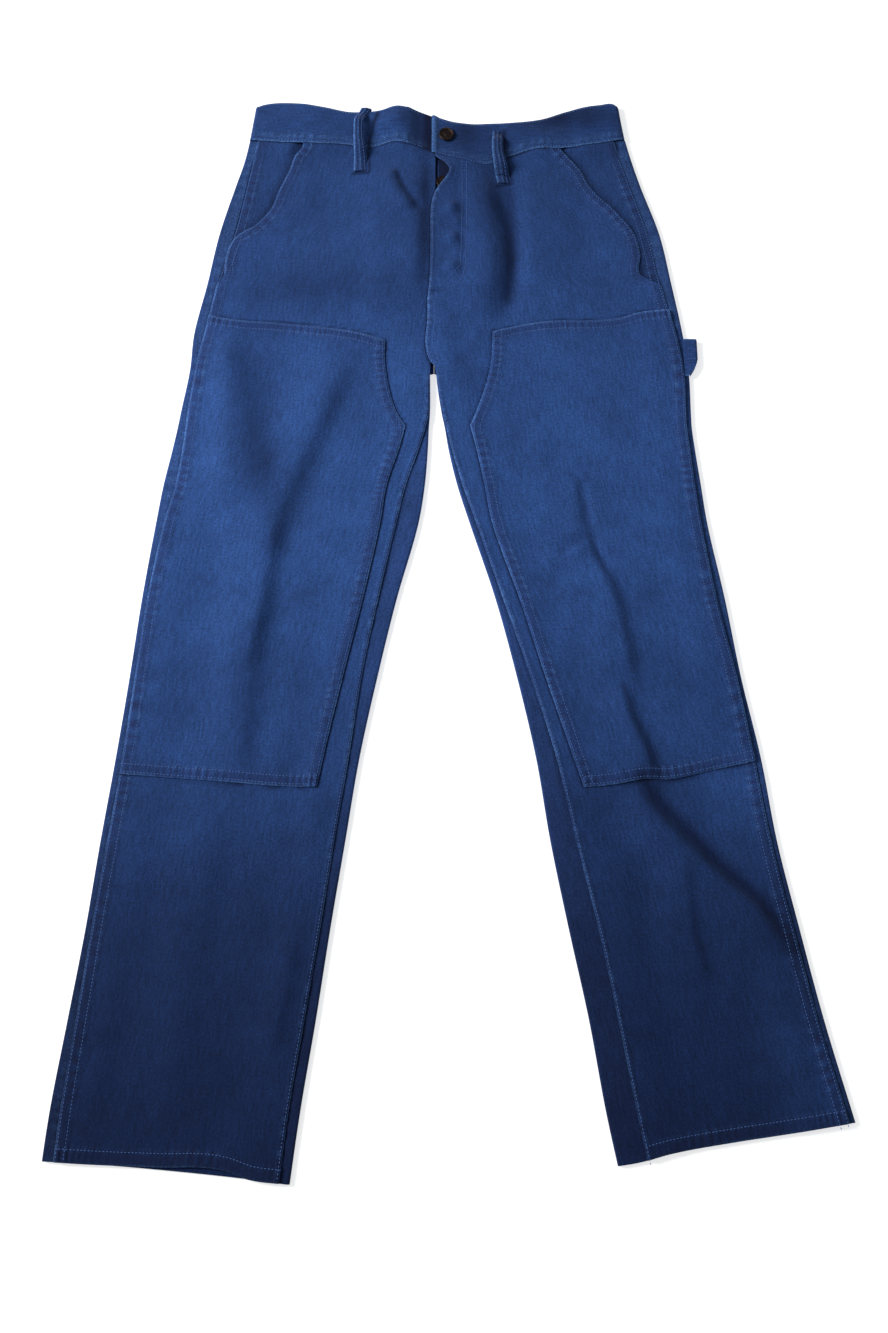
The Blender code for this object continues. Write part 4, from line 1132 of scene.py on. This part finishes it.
def make_facing(leg):
    """Pocket facing: shows between the scoop and the outseam."""
    def across_at(share, y):
        outer = leg.column("outseam", y) - leg.sign * SEAM_GAP
        return outer + (place_at(leg.pocket, y) - leg.sign * FACING_UNDER - outer) * share

    lines = (lambda x: height_at(BAND_SEAM, x) - CLEAR, lambda x: np.full_like(x, FACING_END))
    outseam = leg.path_down("outseam", 276, 106, 6)
    edge = Edge(outseam, OUTSEAM_ROWS, 10.0, 0.1, 2.0)

    def place(across, down):
        y = between_lines(across_at, across, down, lines, FACING_ROWS)
        x = across_at(across, y)
        lift, wear, gather = sewn_edge(edge, x, y)
        open_side = smooth((x - place_at(leg.pocket, y)) * leg.sign / 14)
        under = np.minimum(lift + 0.4 * unevenness(x, y, 9 + leg.seed), 0.24)
        shown = lift + 1.4 * unevenness(x, y, 9 + leg.seed) + 1.3 * band_pull(x, y)
        z = LEG_EDGE + under + (shown - under) * open_side
        # Painted shade under the pocket scoop, and a painted shadow along the scoop and the waistband's
        # seam
        scoop = painted_shade_along([leg.pocket], x, y, 7.0, 0.5)
        return Cloth(x, y, z, x + FACING_CUT, y, wear, gather,
                     np.maximum(scoop, painted_shade_along([leg.pocket, BAND_SEAM], x, y)))

    item = shell(f"pocket_facing_{leg.name}_twill", FACING_COLUMNS, sum(FACING_ROWS), place,
                 lambda z: z > 0, bpy.context.scene.pants_cloth.wall)
    flat, area = cut_of(lambda y: place_at(leg.pocket, y) - leg.sign * FACING_UNDER,
                        lambda y: leg.column("outseam", y), 270, 104, 2.0)
    finish_cloth(item, twill_painted_darker(), f"pocket_facing_{leg.name}")


def make_underlap():
    """Underlap behind the fly, which shows in the gap under the tab."""
    def place(across, down):
        x = UNDERLAP_LEFT + (UNDERLAP_RIGHT - UNDERLAP_LEFT) * across
        top = height_at(BAND_SEAM, x) - 2 * CLEAR
        y = top + (UNDERLAP_LOW - top) * down
        z = UNDERLAP_TOP + 0.3 * np.minimum(unevenness(x, y, 4.0), 0.2)
        # Painted shadow: the underlap lies in the hollow under the fly, so it is painted greyer and
        # darker
        quiet = np.zeros_like(x)
        return Cloth(x, y, z, x + UNDERLAP_CUT, y, quiet, quiet + 0.5, quiet + 0.8)

    item = shell("fly_underlap_twill", UNDERLAP_COLUMNS, UNDERLAP_ROWS, place, lambda z: z > 0,
                 bpy.context.scene.pants_cloth.wall)
    flat, area = cut_of(lambda y: np.full_like(y, UNDERLAP_LEFT),
                        lambda y: np.full_like(y, UNDERLAP_RIGHT), 258, UNDERLAP_LOW, 4.0)
    finish_cloth(item, twill_painted_darker(), "fly_underlap")


# The waistband's two ends at the fly, and its sides, which lean in towards its upper edge
TAB_END = -3.0
BAND_UNDER_END = 28.0
BAND_LEFT_SIDE = 208.0
BAND_RIGHT_SIDE = -202.0
BAND_SIDE_TAPER = 5.0

# The tab's raised end fades out to the left; the other end dips under it
TAB_FADE_END = 46.0
TAB_FADE = 30.0
BAND_DIP_START = -30.0
BAND_DIP = 16.0

# The puckered ridge above the waistband's seam, and how its two edges roll down
RIDGE_AT = 6.4
RIDGE_SWAY = 0.8
RIDGE_REACH = 3.4
BAND_SEAM_ROLL = 0.4
BAND_SEAM_REACH = 1.2
BAND_EDGE_ROLL = 1.4
BAND_EDGE_REACH = 3.4
BAND_PUCKER = 10.0

# Where the tab's end is rolled up from, and how far
TAB_ROLL_AT = 3.5
TAB_ROLL_REACH = 3.2
TAB_ROLL_LIFT = 2.0
TAB_EDGE_REACH = 1.2

# How far the waistband's rows of stitches lie from its seam and from its upper edge
BAND_LOW_ROW = 2.4
BAND_HIGH_ROW = 2.6

# Folds across the waistband's face
BAND_FOLDS = (
    Crease(2.0, 9, 9, ((-66, 292), (-52, 300), (-30, 303))),
    Crease(-1.6, 6, 5, ((-14, 312), (-16, 296), (-14, 276))),
    Crease(2.2, 9, 14, ((70, 292), (96, 288), (124, 276), (150, 286))),
    Crease(1.4, 12, 10, ((150, 300), (176, 298), (200, 300))),
    Crease(1.0, 8, 12, ((-196, 300), (-160, 302), (-120, 300))),
)


def band_front_z(x):
    """Top of the waistband's front, with the tab raised where it laps over the other end."""
    tab = np.where(x > TAB_END - 1, (TAB_TOP - BAND_TOP) * smooth((TAB_FADE_END - x) / TAB_FADE), 0.0)
    return BAND_TOP + tab + band_wave(x)


def band_under_z(x):
    """Top of the waistband's right end, which dips under the tab."""
    drop = smooth((x - BAND_DIP_START) / BAND_DIP)
    return (BAND_TOP + band_wave(x)) * (1 - drop) + BAND_END_TOP * drop


def band_face(x, rise):
    """Height, wear and gathering of the waistband's face; rise goes from its seam to its edge."""
    seam = height_at(BAND_SEAM, x)
    depth = height_at(BAND_EDGE, x) - seam
    low = rise * depth
    high = depth - low
    wave = gathers(x, BAND_PUCKER, 1.5)
    ridge = bell(low - RIDGE_AT - RIDGE_SWAY * wave, RIDGE_REACH)
    lift = -BAND_SEAM_ROLL * (1 - smooth(low / BAND_SEAM_REACH))
    lift -= BAND_EDGE_ROLL * (1 - smooth(high / BAND_EDGE_REACH))
    lift += ridge * (0.5 + 0.55 * wave)
    lift -= 0.3 * bell(low - BAND_LOW_ROW, ROW_REACH) + 0.15 * bell(high - BAND_HIGH_ROW, ROW_REACH)
    for fold in BAND_FOLDS:
        lift += crease_lift(fold, x, seam + low)
    lift += 0.8 * unevenness(x, seam + low, 6.0)
    wear = 0.4 * bell(high, 1.5) + bell(low, 1.3)
    wear += ridge * (0.16 + 0.3 * np.maximum(wave, 0))
    return lift, wear, 0.3 * bell(low - 3, 3) * (0.6 - 0.4 * wave)


def make_waistband():
    """Waistband: a flattened ring whose left end is lapped over its right end."""
    radius = BAND_TOP / 2
    counts = (96, 10, 20, 20, 10, 104)
    columns = sum(counts)
    starts = np.cumsum((0,) + counts)

    def place(across, down):
        column = np.round(across * columns)
        rise = eased(1 - down, 0.7)
        part = [np.clip((column - start) / count, 0, 1) for start, count in zip(starts, counts)]
        left_centre = BAND_LEFT_SIDE - BAND_SIDE_TAPER * rise - radius
        right_centre = BAND_RIGHT_SIDE + BAND_SIDE_TAPER * rise + radius
        over = column <= starts[1]
        under = column >= starts[5]
        left_turn = np.pi * part[1]
        right_turn = np.pi * part[4]
        x = np.where(over, TAB_END + (left_centre - TAB_END) * part[0],
                     right_centre + (BAND_UNDER_END - right_centre) * part[5])
        face_z = np.where(over, band_front_z(x), band_under_z(x))
        floor_x = np.where(column <= starts[3], left_centre * (1 - part[2]), right_centre * part[3])
        on_left = (column > starts[1]) & (column <= starts[2])
        on_floor = (column > starts[2]) & (column <= starts[4])
        on_right = (column > starts[4]) & (column < starts[5])
        x = np.where(on_left, left_centre + radius * np.sin(left_turn), x)
        x = np.where(on_floor, floor_x, x)
        x = np.where(on_right, right_centre - radius * np.sin(right_turn), x)
        z = np.where(on_left, radius + radius * np.cos(left_turn), face_z)
        z = np.where(on_floor, 0.0, z)
        z = np.where(on_right, radius - radius * np.cos(right_turn), z)
        facing = (over | under).astype(float)
        underneath = np.where(over | under, 0.0, 1 - z / BAND_TOP)
        seam = back_seam(x) * underneath + height_at(BAND_SEAM, x) * (1 - underneath)
        edge = height_at(BAND_EDGE, x) - BACK_EDGE_BELOW_FRONT * underneath
        y = seam + (edge - seam) * rise
        lift, wear, gather = band_face(x, rise)
        tab = bell(x - TAB_END, TAB_EDGE_REACH) * over
        roll = bell(x - TAB_END - TAB_ROLL_AT, TAB_ROLL_REACH) * over
        pressed = np.where(under & (x > BAND_DIP_START), 0.4, 1.0)
        z = z + lift * facing * pressed - tab + TAB_ROLL_LIFT * roll
        # Painted shade on the right end where it dips under the tab, and a painted shadow beside the
        # belt loops
        lapped = under * (0.85 * smooth((x + 15) / 9) + 0.35 * smooth((x + 34) / 20))
        beside = painted_shade_along(LOOP_SHADOW_SIDES, x, y, 2.6)
        return Cloth(x, y, z, y + BAND_CUT, np.where(facing > 0, x, -x + 900),
                     np.maximum(wear, tab + 0.6 * roll) * facing, gather * facing,
                     np.clip(lapped + beside * facing, 0, 0.9))

    item = shell("waistband_twill", columns, BAND_ROWS, place, lambda z: z > BAND_TOP, BAND_CLOTH)
    finish_cloth(item, twill(), "waistband")


# Belt loops: where, as a share of its length, a loop rises from its lower seam and falls to its
# upper one, and how high it stands off the waistband between them
LOOP_WIDTH = 13.0
LOOP_RISE_START = 0.14
LOOP_RISE = 0.22
LOOP_FALL_END = 0.96
LOOP_FALL = 0.2
LOOP_STAND = 6.4
LOOP_CROWN = 1.5
LOOP_HOOK = 0.03
STRAP_WALL = 1.6

# Marks up a belt loop: how far up, its middle x and y, and its width
BeltLoop = namedtuple("BeltLoop", "name leg marks hooked")
BELT_LOOPS = (
    BeltLoop("belt_loop_right", RIGHT, ((0.0, -79.5, 236, 16.0), (0.25, -80.5, 256, 13.5),
                                        (0.55, -82.5, 280, 11.0), (0.85, -81, 303, 11.0),
                                        (1.0, -75, 315, 12.0)), True),
    BeltLoop("belt_loop_left", LEFT, ((0.0, 75, 222, 14.0), (0.3, 71.5, 240, 14.5),
                                      (0.6, 68.5, 260, 12.5), (1.0, 69.5, 286, 12.0)), False),
)


def loop_centre(loop, share):
    """Centre line of a belt loop's face, from its lower end to its upper one."""
    stations, middles, heights, widths = zip(*loop.marks)
    x = reading(stations, middles, share)
    y = reading(stations, heights, share)
    stand = LOOP_STAND * smooth((share - LOOP_RISE_START) / LOOP_RISE)
    stand *= smooth((LOOP_FALL_END - share) / LOOP_FALL)
    panel = FRONT_TOP + loop.leg.relief(x, np.minimum(y, height_at(BAND_SEAM, x)))
    carried = np.where(share > 0.15, np.maximum(panel, band_front_z(x)), panel)
    return x, y, carried + CLEAR + STRAP_WALL + stand + 0.2, reading(stations, widths, share)


def make_belt_loop(loop):
    """Belt loop: a folded strap sewn down at both ends, with raised edges and a middle ridge."""
    def place(across, down):
        # The last rows of a hooked loop bend down over the waistband's upper edge
        run = (1 - down) * (1 + LOOP_HOOK)
        share = np.clip(run, 0, 1)
        past = np.clip(run - 1, 0, LOOP_HOOK) / LOOP_HOOK if loop.hooked else np.zeros_like(down)
        x, y, z, width = loop_centre(loop, share)
        side = across - 0.5
        ridge = 0.45 * bell(side, 0.1)
        ridge += 0.35 * bell(np.abs(side) - 0.38, 0.07)
        roll = 0.7 * smooth((np.abs(side) - 0.42) / 0.08)
        # The left edge is rubbed paler than the right: wear, and partly a painted highlight on the side
        # the lamp lights
        wear = 0.9 * bell(side + 0.44, 0.07) + 0.5 * bell(side - 0.47, 0.05)
        wear += 0.5 * bell(side, 0.07)
        z = z + ridge - roll - LOOP_CROWN * (2 * side + 0.3) ** 2 - 3.0 * past ** 1.5
        y = y + 2.6 * np.sin(past * np.pi / 2)
        x = x + side * width
        return Cloth(x, y, z, side * LOOP_WIDTH + LOOP_CUT, y, wear, 0.4 * (1 - wear))

    item = shell(f"{loop.name}_twill", LOOP_COLUMNS, LOOP_ROWS, place, lambda z: z > 0, STRAP_CLOTH)
    finish_cloth(item, twill(), loop.name)


# Hammer loop: its fold, where its two layers start, its upper edge, its rows of stitches, and
# the corner of its lower edge
HAMMER_FOLD_X = 274.0
HAMMER_UPPER_START = 259.0
HAMMER_LOWER_START = 265.5
HAMMER_TOP_Y = 34.0
HAMMER_SEWN = (22.0, 11.0)
HAMMER_CORNER = ((258, -9), (264, -8), (268, -3), (272, 5), (274, 12))


def hammer_face(x):
    """Height y of the hammer loop's lower edge."""
    return height_at(HAMMER_CORNER, x)


def make_hammer_loop():
    """Hammer loop: a wide strap from the left outseam, folded round to lie under itself."""
    top = LEG_EDGE + CLEAR + STRAP_WALL
    radius = top / 2
    centre = HAMMER_FOLD_X - radius
    counts = (14, 14, 8)
    columns = sum(counts)

    def place(across, down):
        column = across * columns
        part = [np.clip((column - start) / count, 0, 1)
                for start, count in zip((0, counts[0], counts[0] + counts[1]), counts)]
        turn = np.pi * part[1]
        x = HAMMER_UPPER_START + (centre - HAMMER_UPPER_START) * part[0]
        x = np.where(column > counts[0], centre + radius * np.sin(turn), x)
        x = np.where(column > counts[0] + counts[1], centre + (HAMMER_LOWER_START - centre) * part[2], x)
        z = radius + radius * np.cos(turn)
        low = hammer_face(x)
        y = HAMMER_TOP_Y + (low - HAMMER_TOP_Y) * down
        edge = np.minimum(y - low, HAMMER_TOP_Y - y)
        raised = smooth(z / top * 2 - 1)
        lift = -0.5 * (1 - smooth(edge / 1.6))
        for line in HAMMER_SEWN:
            lift -= 0.3 * bell(y - line, 1.1)
        wear = 0.8 * bell(edge, 1.4) * raised
        return Cloth(x, y, z + lift * raised, y + HAMMER_CUT, x, wear, 0.3 * raised)

    item = shell("hammer_loop_twill", columns, HAMMER_ROWS, place, lambda z: z > top * 0.95, STRAP_CLOTH)
    finish_cloth(item, twill(), "hammer_loop")


# A button's profile from its centre outwards, as shares of its radius and height
BUTTON_PROFILE = ((0.0, 0.0), (0.55, 0.0), (0.6, 0.2), (0.62, 0.35), (0.8, 0.36), (0.93, 0.4),
                  (0.99, 0.52), (1.0, 0.7), (0.98, 0.86), (0.93, 0.96), (0.87, 1.0), (0.81, 0.98),
                  (0.76, 0.88), (0.7, 0.82), (0.55, 0.8), (0.4, 0.8), (0.32, 0.86), (0.22, 0.92),
                  (0.1, 0.94), (0.0, 0.94))


def make_button(name, node):
    """A plain shank button: a dished cap with a rolled rim, turned round its own axis."""
    low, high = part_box(node)
    centre = (low + high) / 2
    radius = (high.x - low.x) / 2
    height = high.z - low.z
    button = bmesh.new()
    points = [button.verts.new((share * radius, 0.0, rise * height)) for share, rise in BUTTON_PROFILE]
    edges = [button.edges.new(pair) for pair in zip(points, points[1:])]
    bmesh.ops.spin(button, geom=points + edges, cent=(0, 0, 0), axis=(0, 0, 1),
                   angle=2 * math.pi, steps=56, use_merge=True)
    bmesh.ops.remove_doubles(button, verts=button.verts, dist=0.00001)
    bmesh.ops.recalc_face_normals(button, faces=button.faces)
    bmesh.ops.translate(button, vec=(centre.x, centre.y, low.z), verts=button.verts)
    mesh = mesh_of(name, button)
    mesh.shade_smooth()
    mesh.set_sharp_from_angle(angle=SHARP_ANGLE)
    mesh.materials.append(material_named("patinated_copper", patinated_copper))
    item = placed(name, mesh)
    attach(item, "root")
    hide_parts(node)


def inset(path, distance, side):
    """A path moved sideways, without the tangles that a corner would give it."""
    points = np.array(path, dtype=float)
    run = np.gradient(points, axis=0)
    run /= np.maximum(np.hypot(run[:, 0], run[:, 1]), 1e-9)[:, None]
    moved = points + side * distance * np.column_stack((-run[:, 1], run[:, 0]))
    gap = nearest(path, moved[:, 0], moved[:, 1])[0]
    return [tuple(point) for point in moved[gap > distance * 0.97]]


def stitch_places(path, pitch):
    """Middle points of the stitches along a path, and the way each one lies."""
    points = np.array(path, dtype=float)
    lengths = np.hypot(*np.diff(points, axis=0).T)
    travelled = np.concatenate(([0.0], np.cumsum(lengths)))
    stops = np.arange(pitch / 2, travelled[-1], pitch)
    x = np.interp(stops, travelled, points[:, 0])
    y = np.interp(stops, travelled, points[:, 1])
    ahead_x = np.interp(stops + 0.5, travelled, points[:, 0])
    ahead_y = np.interp(stops + 0.5, travelled, points[:, 1])
    run = np.column_stack((ahead_x - x, ahead_y - y))
    run /= np.maximum(np.hypot(run[:, 0], run[:, 1]), 1e-9)[:, None]
    return x, y, run


def add_stitches(thread, path, face):
    """Stitches along a path, half sunk in the surface that face(x, y) gives."""
    sewing = bpy.context.scene.pants_sewing
    half = sewing.length / MM / 2
    radius = sewing.thickness / MM / 2
    x, y, run = stitch_places(path, sewing.pitch / MM)
    back_z = face(x - run[:, 0] * half, y - run[:, 1] * half)
    front_z = face(x + run[:, 0] * half, y + run[:, 1] * half)
    for step in range(len(x)):
        climb = (front_z[step] - back_z[step]) / (2 * half)
        tangent = Vector((run[step, 0], run[step, 1], climb)).normalized()
        across = Vector((0, 0, 1)).cross(tangent).normalized()
        up = tangent.cross(across)
        turn = Matrix((tangent, across, up)).transposed().to_4x4()
        middle = Vector(((x[step] + CROTCH_X) * MM, (y[step] + CROTCH_Y) * MM,
                         ((front_z[step] + back_z[step]) / 2 + radius * 0.35) * MM))
        size = Matrix.Diagonal((half * MM, radius * MM, radius * 0.8 * MM, 1.0))
        bmesh.ops.create_icosphere(thread, subdivisions=1, radius=1.0,
                                   matrix=Matrix.Translation(middle) @ turn @ size)


def finish_stitches(name, thread):
    """Turn a bmesh of stitches into a piece."""
    mesh = mesh_of(name, thread)
    mesh.shade_smooth()
    mesh.materials.append(material_named("spun_polyester_thread", spun_polyester_thread))
    item = placed(name, mesh)
    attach(item, "root")


def sew_leg(leg):
    """Rows along the outseam, inseam, pocket, patch and hem of one leg."""
    thread = bmesh.new()
    inward = -leg.sign
    outseam_end = float(leg.hem_at(leg.sign * 340)) + 2
    inseam_end = float(leg.hem_at(leg.sign * 150)) + 2
    outseam = leg.path_down("outseam", 272, outseam_end, 5)
    inseam = leg.path_down("inseam", -10, inseam_end, 5)
    pocket = leg.path_down("pocket", 268, 112, 4)
    top, low, inner, _ = leg.patch_edges()
    hem = leg.front_edges()[3]
    for path, distances, side in ((outseam, OUTSEAM_ROWS, inward), (inseam, INSEAM_ROWS, leg.sign),
                                  (pocket, POCKET_ROWS, inward), (top.path, top.rows, leg.sign),
                                  (low.path, low.rows, inward), (inner.path, inner.rows, leg.sign),
                                  (hem.path, hem.rows, inward)):
        for distance in distances:
            add_stitches(thread, inset(path, distance, side), leg.face)
    finish_stitches(f"stitches_{leg.name}_leg", thread)


def sew_band():
    """Rows along the waistband's face."""
    thread = bmesh.new()

    def on_band(x, y):
        seam = height_at(BAND_SEAM, x)
        rise = (y - seam) / (height_at(BAND_EDGE, x) - seam)
        lap = np.where(x > TAB_END, band_front_z(x), band_under_z(x))
        return lap + band_face(x, rise)[0]

    for first, last in ((-196, -12), (TAB_END + 2, 200)):
        places = np.linspace(first, last, 60)
        low = [(float(x), float(height_at(BAND_SEAM, x)) + BAND_LOW_ROW) for x in places]
        high = [(float(x), float(height_at(BAND_EDGE, x)) - BAND_HIGH_ROW) for x in places]
        add_stitches(thread, low, on_band)
        add_stitches(thread, high, on_band)
    finish_stitches("stitches_waistband", thread)


# The fly's curved row of stitches, and how far from it the second one lies
FLY_ROW_GAP = 5.0
FLY_CURVE = ((35, 246), (35, 200), (34, 150), (33, 118), (30, 104), (22, 95), (8, 91))


def sew_fly():
    """The fly's curved rows, its edge and the seam below it."""
    thread = bmesh.new()
    add_stitches(thread, FLY_CURVE, LEFT.face)
    add_stitches(thread, inset(FLY_CURVE, FLY_ROW_GAP, -1), LEFT.face)
    edge = LEFT.path_down("fly", 208, 6, 5)
    add_stitches(thread, inset(edge, 2.2, 1), LEFT.face)
    lower = LEFT.path_down("fly", 88, 6, 5)
    add_stitches(thread, inset(lower, 8.0, 1), LEFT.face)
    finish_stitches("stitches_fly", thread)


def sew_loops():
    """Rows along the belt loops and across the hammer loop."""
    thread = bmesh.new()
    for loop in BELT_LOOPS:
        def on_loop(x, y, loop=loop):
            stations, _, heights, _ = zip(*loop.marks)
            share = np.clip(reading(heights, stations, y), 0, 1)
            middle, _, z, width = loop_centre(loop, share)
            return z + 0.3 - LOOP_CROWN * (2 * (x - middle) / width + 0.3) ** 2
        for side in (-0.3, 0.3):
            path = [(float(x + side * width), float(y)) for x, y, _, width in
                    zip(*loop_centre(loop, np.linspace(0.02, 0.97, 20)))]
            add_stitches(thread, path, on_loop)
    top = LEG_EDGE + CLEAR + STRAP_WALL
    for line in HAMMER_SEWN:
        add_stitches(thread, ((HAMMER_UPPER_START + 4, line), (HAMMER_FOLD_X - 2.5, line)),
                     lambda x, y: np.full(np.shape(x), top - 0.25))
    finish_stitches("stitches_loops", thread)


class PANTS_OT_panels(bpy.types.Operator):
    """Front and back panels of both legs, with their creases"""
    bl_idname = "pants.panels"
    bl_label = "Panels"

    def execute(self, context):
        for leg in LEGS:
            make_back(leg)
            make_front(leg)
        return {"FINISHED"}


class PANTS_OT_patches(bpy.types.Operator):
    """Knee patches of both legs"""
    bl_idname = "pants.patches"
    bl_label = "Knee patches"

    def execute(self, context):
        for leg in LEGS:
            make_patch(leg)
        return {"FINISHED"}


class PANTS_OT_facings(bpy.types.Operator):
    """Pocket facings and the fly's underlap"""
    bl_idname = "pants.facings"
    bl_label = "Facings"

    def execute(self, context):
        for leg in LEGS:
            make_facing(leg)
        make_underlap()
        return {"FINISHED"}


class PANTS_OT_waistband(bpy.types.Operator):
    """Waistband, with its tab lapped over the other end"""
    bl_idname = "pants.waistband"
    bl_label = "Waistband"

    def execute(self, context):
        make_waistband()
        return {"FINISHED"}


class PANTS_OT_loops(bpy.types.Operator):
    """Belt loops and hammer loop"""
    bl_idname = "pants.loops"
    bl_label = "Loops"

    def execute(self, context):
        for loop in BELT_LOOPS:
            make_belt_loop(loop)
        make_hammer_loop()
        return {"FINISHED"}


class PANTS_OT_buttons(bpy.types.Operator):
    """Shank buttons of the waistband and the fly"""
    bl_idname = "pants.buttons"
    bl_label = "Buttons"

    def execute(self, context):
        make_button("waist_button_cap", "waist_button")
        make_button("fly_button_cap", "fly_button")
        return {"FINISHED"}


class PANTS_OT_sewing(bpy.types.Operator):
    """Rows of stitches"""
    bl_idname = "pants.sewing"
    bl_label = "Sewing"

    def execute(self, context):
        for leg in LEGS:
            sew_leg(leg)
        sew_band()
        sew_fly()
        sew_loops()
        return {"FINISHED"}


# The camera's place from the point of the crotch, and its lens, in millimetres
CAMERA_EAST = 10.4
CAMERA_NORTH = -659.0
FOCAL_LENGTH = 35.0
SENSOR_HEIGHT = 36.0
# The lamp, in metres, and the light from all round
KEY_PLACE = (-2.3, 0.55, 1.5)
KEY_AIM = (0.0, 0.12, 0.0)
KEY_RADIUS = 0.55
KEY_CONE = math.radians(60)
FILL_COLOUR = (0.96, 0.98, 1.0, 1)
# The paper, a hair under the cloth, in metres
FLOOR_REACH = 6.0
FLOOR_HEIGHT = -0.0002


def white_paper():
    """Matt white backing paper: it glows a little, so that it stays white under a dim light."""
    material, _, shader = blank_material("white_paper")
    shader.inputs["Base Color"].default_value = (0.86, 0.86, 0.86, 1)
    shader.inputs["Roughness"].default_value = 1.0
    shader.inputs["Specular IOR Level"].default_value = 0.0
    shader.inputs["Emission Color"].default_value = (1, 1, 1, 1)
    shader.inputs["Emission Strength"].default_value = bpy.context.scene.pants_stage.floor_glow
    return material


class PANTS_OT_stage(bpy.types.Operator):
    """White floor, lamp at the upper left, light from all round and the camera"""
    bl_idname = "pants.stage"
    bl_label = "Stage"

    def execute(self, context):
        scene = context.scene
        stage = scene.pants_stage
        scene.view_settings.view_transform = "Standard"
        sheet = bmesh.new()
        bmesh.ops.create_grid(sheet, x_segments=1, y_segments=1, size=FLOOR_REACH)
        mesh = mesh_of("floor", sheet)
        mesh.materials.append(white_paper())
        floor = placed("floor", mesh)
        floor.location.z = FLOOR_HEIGHT

        lamp = bpy.data.lights.new("key", "SPOT")
        lamp.energy = stage.key
        lamp.shadow_soft_size = KEY_RADIUS
        lamp.spot_size = KEY_CONE
        lamp.spot_blend = 1.0
        key = placed("key", lamp)
        key.location = KEY_PLACE
        aim = Vector(KEY_AIM) - key.location
        key.rotation_euler = aim.to_track_quat("-Z", "Y").to_euler()

        world = bpy.data.worlds.new("studio")
        world.use_nodes = True
        background = world.node_tree.nodes["Background"]
        background.inputs["Color"].default_value = FILL_COLOUR
        background.inputs["Strength"].default_value = stage.fill
        scene.world = world

        lens = bpy.data.cameras.new("camera")
        lens.lens = FOCAL_LENGTH
        lens.sensor_fit = "VERTICAL"
        lens.sensor_height = SENSOR_HEIGHT
        camera = placed("camera", lens)
        camera.location = ((CROTCH_X + CAMERA_EAST) * MM, (CROTCH_Y + CAMERA_NORTH) * MM, stage.height)
        camera.rotation_euler = (stage.tilt, 0, 0)
        scene.camera = camera
        return {"FINISHED"}


class PANTS_PT_panel(bpy.types.Panel):
    """Sizes, colours and pieces of the pants"""
    bl_idname = "PANTS_PT_panel"
    bl_label = "Carpenter Pants"
    bl_space_type = "VIEW_3D"
    bl_region_type = "UI"
    bl_category = "Pants"

    def draw(self, context):
        for group in (context.scene.pants_cloth, context.scene.pants_sewing, context.scene.pants_stage):
            box = self.layout.box()
            for name in group.bl_rna.properties.keys():
                if name not in ("rna_type", "name"):
                    box.prop(group, name)
        for piece in PIECES:
            self.layout.operator(piece.bl_idname)


PIECES = (PANTS_OT_stage, PANTS_OT_panels, PANTS_OT_patches, PANTS_OT_facings, PANTS_OT_waistband,
          PANTS_OT_loops, PANTS_OT_buttons, PANTS_OT_sewing)
CLASSES = (ClothSettings, SewingSettings, StageSettings) + PIECES + (PANTS_PT_panel,)


def register():
    for item in CLASSES:
        bpy.utils.register_class(item)
    bpy.types.Scene.pants_cloth = bpy.props.PointerProperty(type=ClothSettings)
    bpy.types.Scene.pants_sewing = bpy.props.PointerProperty(type=SewingSettings)
    bpy.types.Scene.pants_stage = bpy.props.PointerProperty(type=StageSettings)


def unregister():
    del bpy.types.Scene.pants_stage
    del bpy.types.Scene.pants_sewing
    del bpy.types.Scene.pants_cloth
    for item in reversed(CLASSES):
        bpy.utils.unregister_class(item)


def main():
    """Build every piece around the frame."""
    register()
    bpy.ops.pants.stage()
    bpy.ops.pants.panels()
    bpy.ops.pants.patches()
    bpy.ops.pants.facings()
    bpy.ops.pants.waistband()
    bpy.ops.pants.loops()
    bpy.ops.pants.buttons()
    bpy.ops.pants.sewing()


if __name__ == "__main__":
    main()
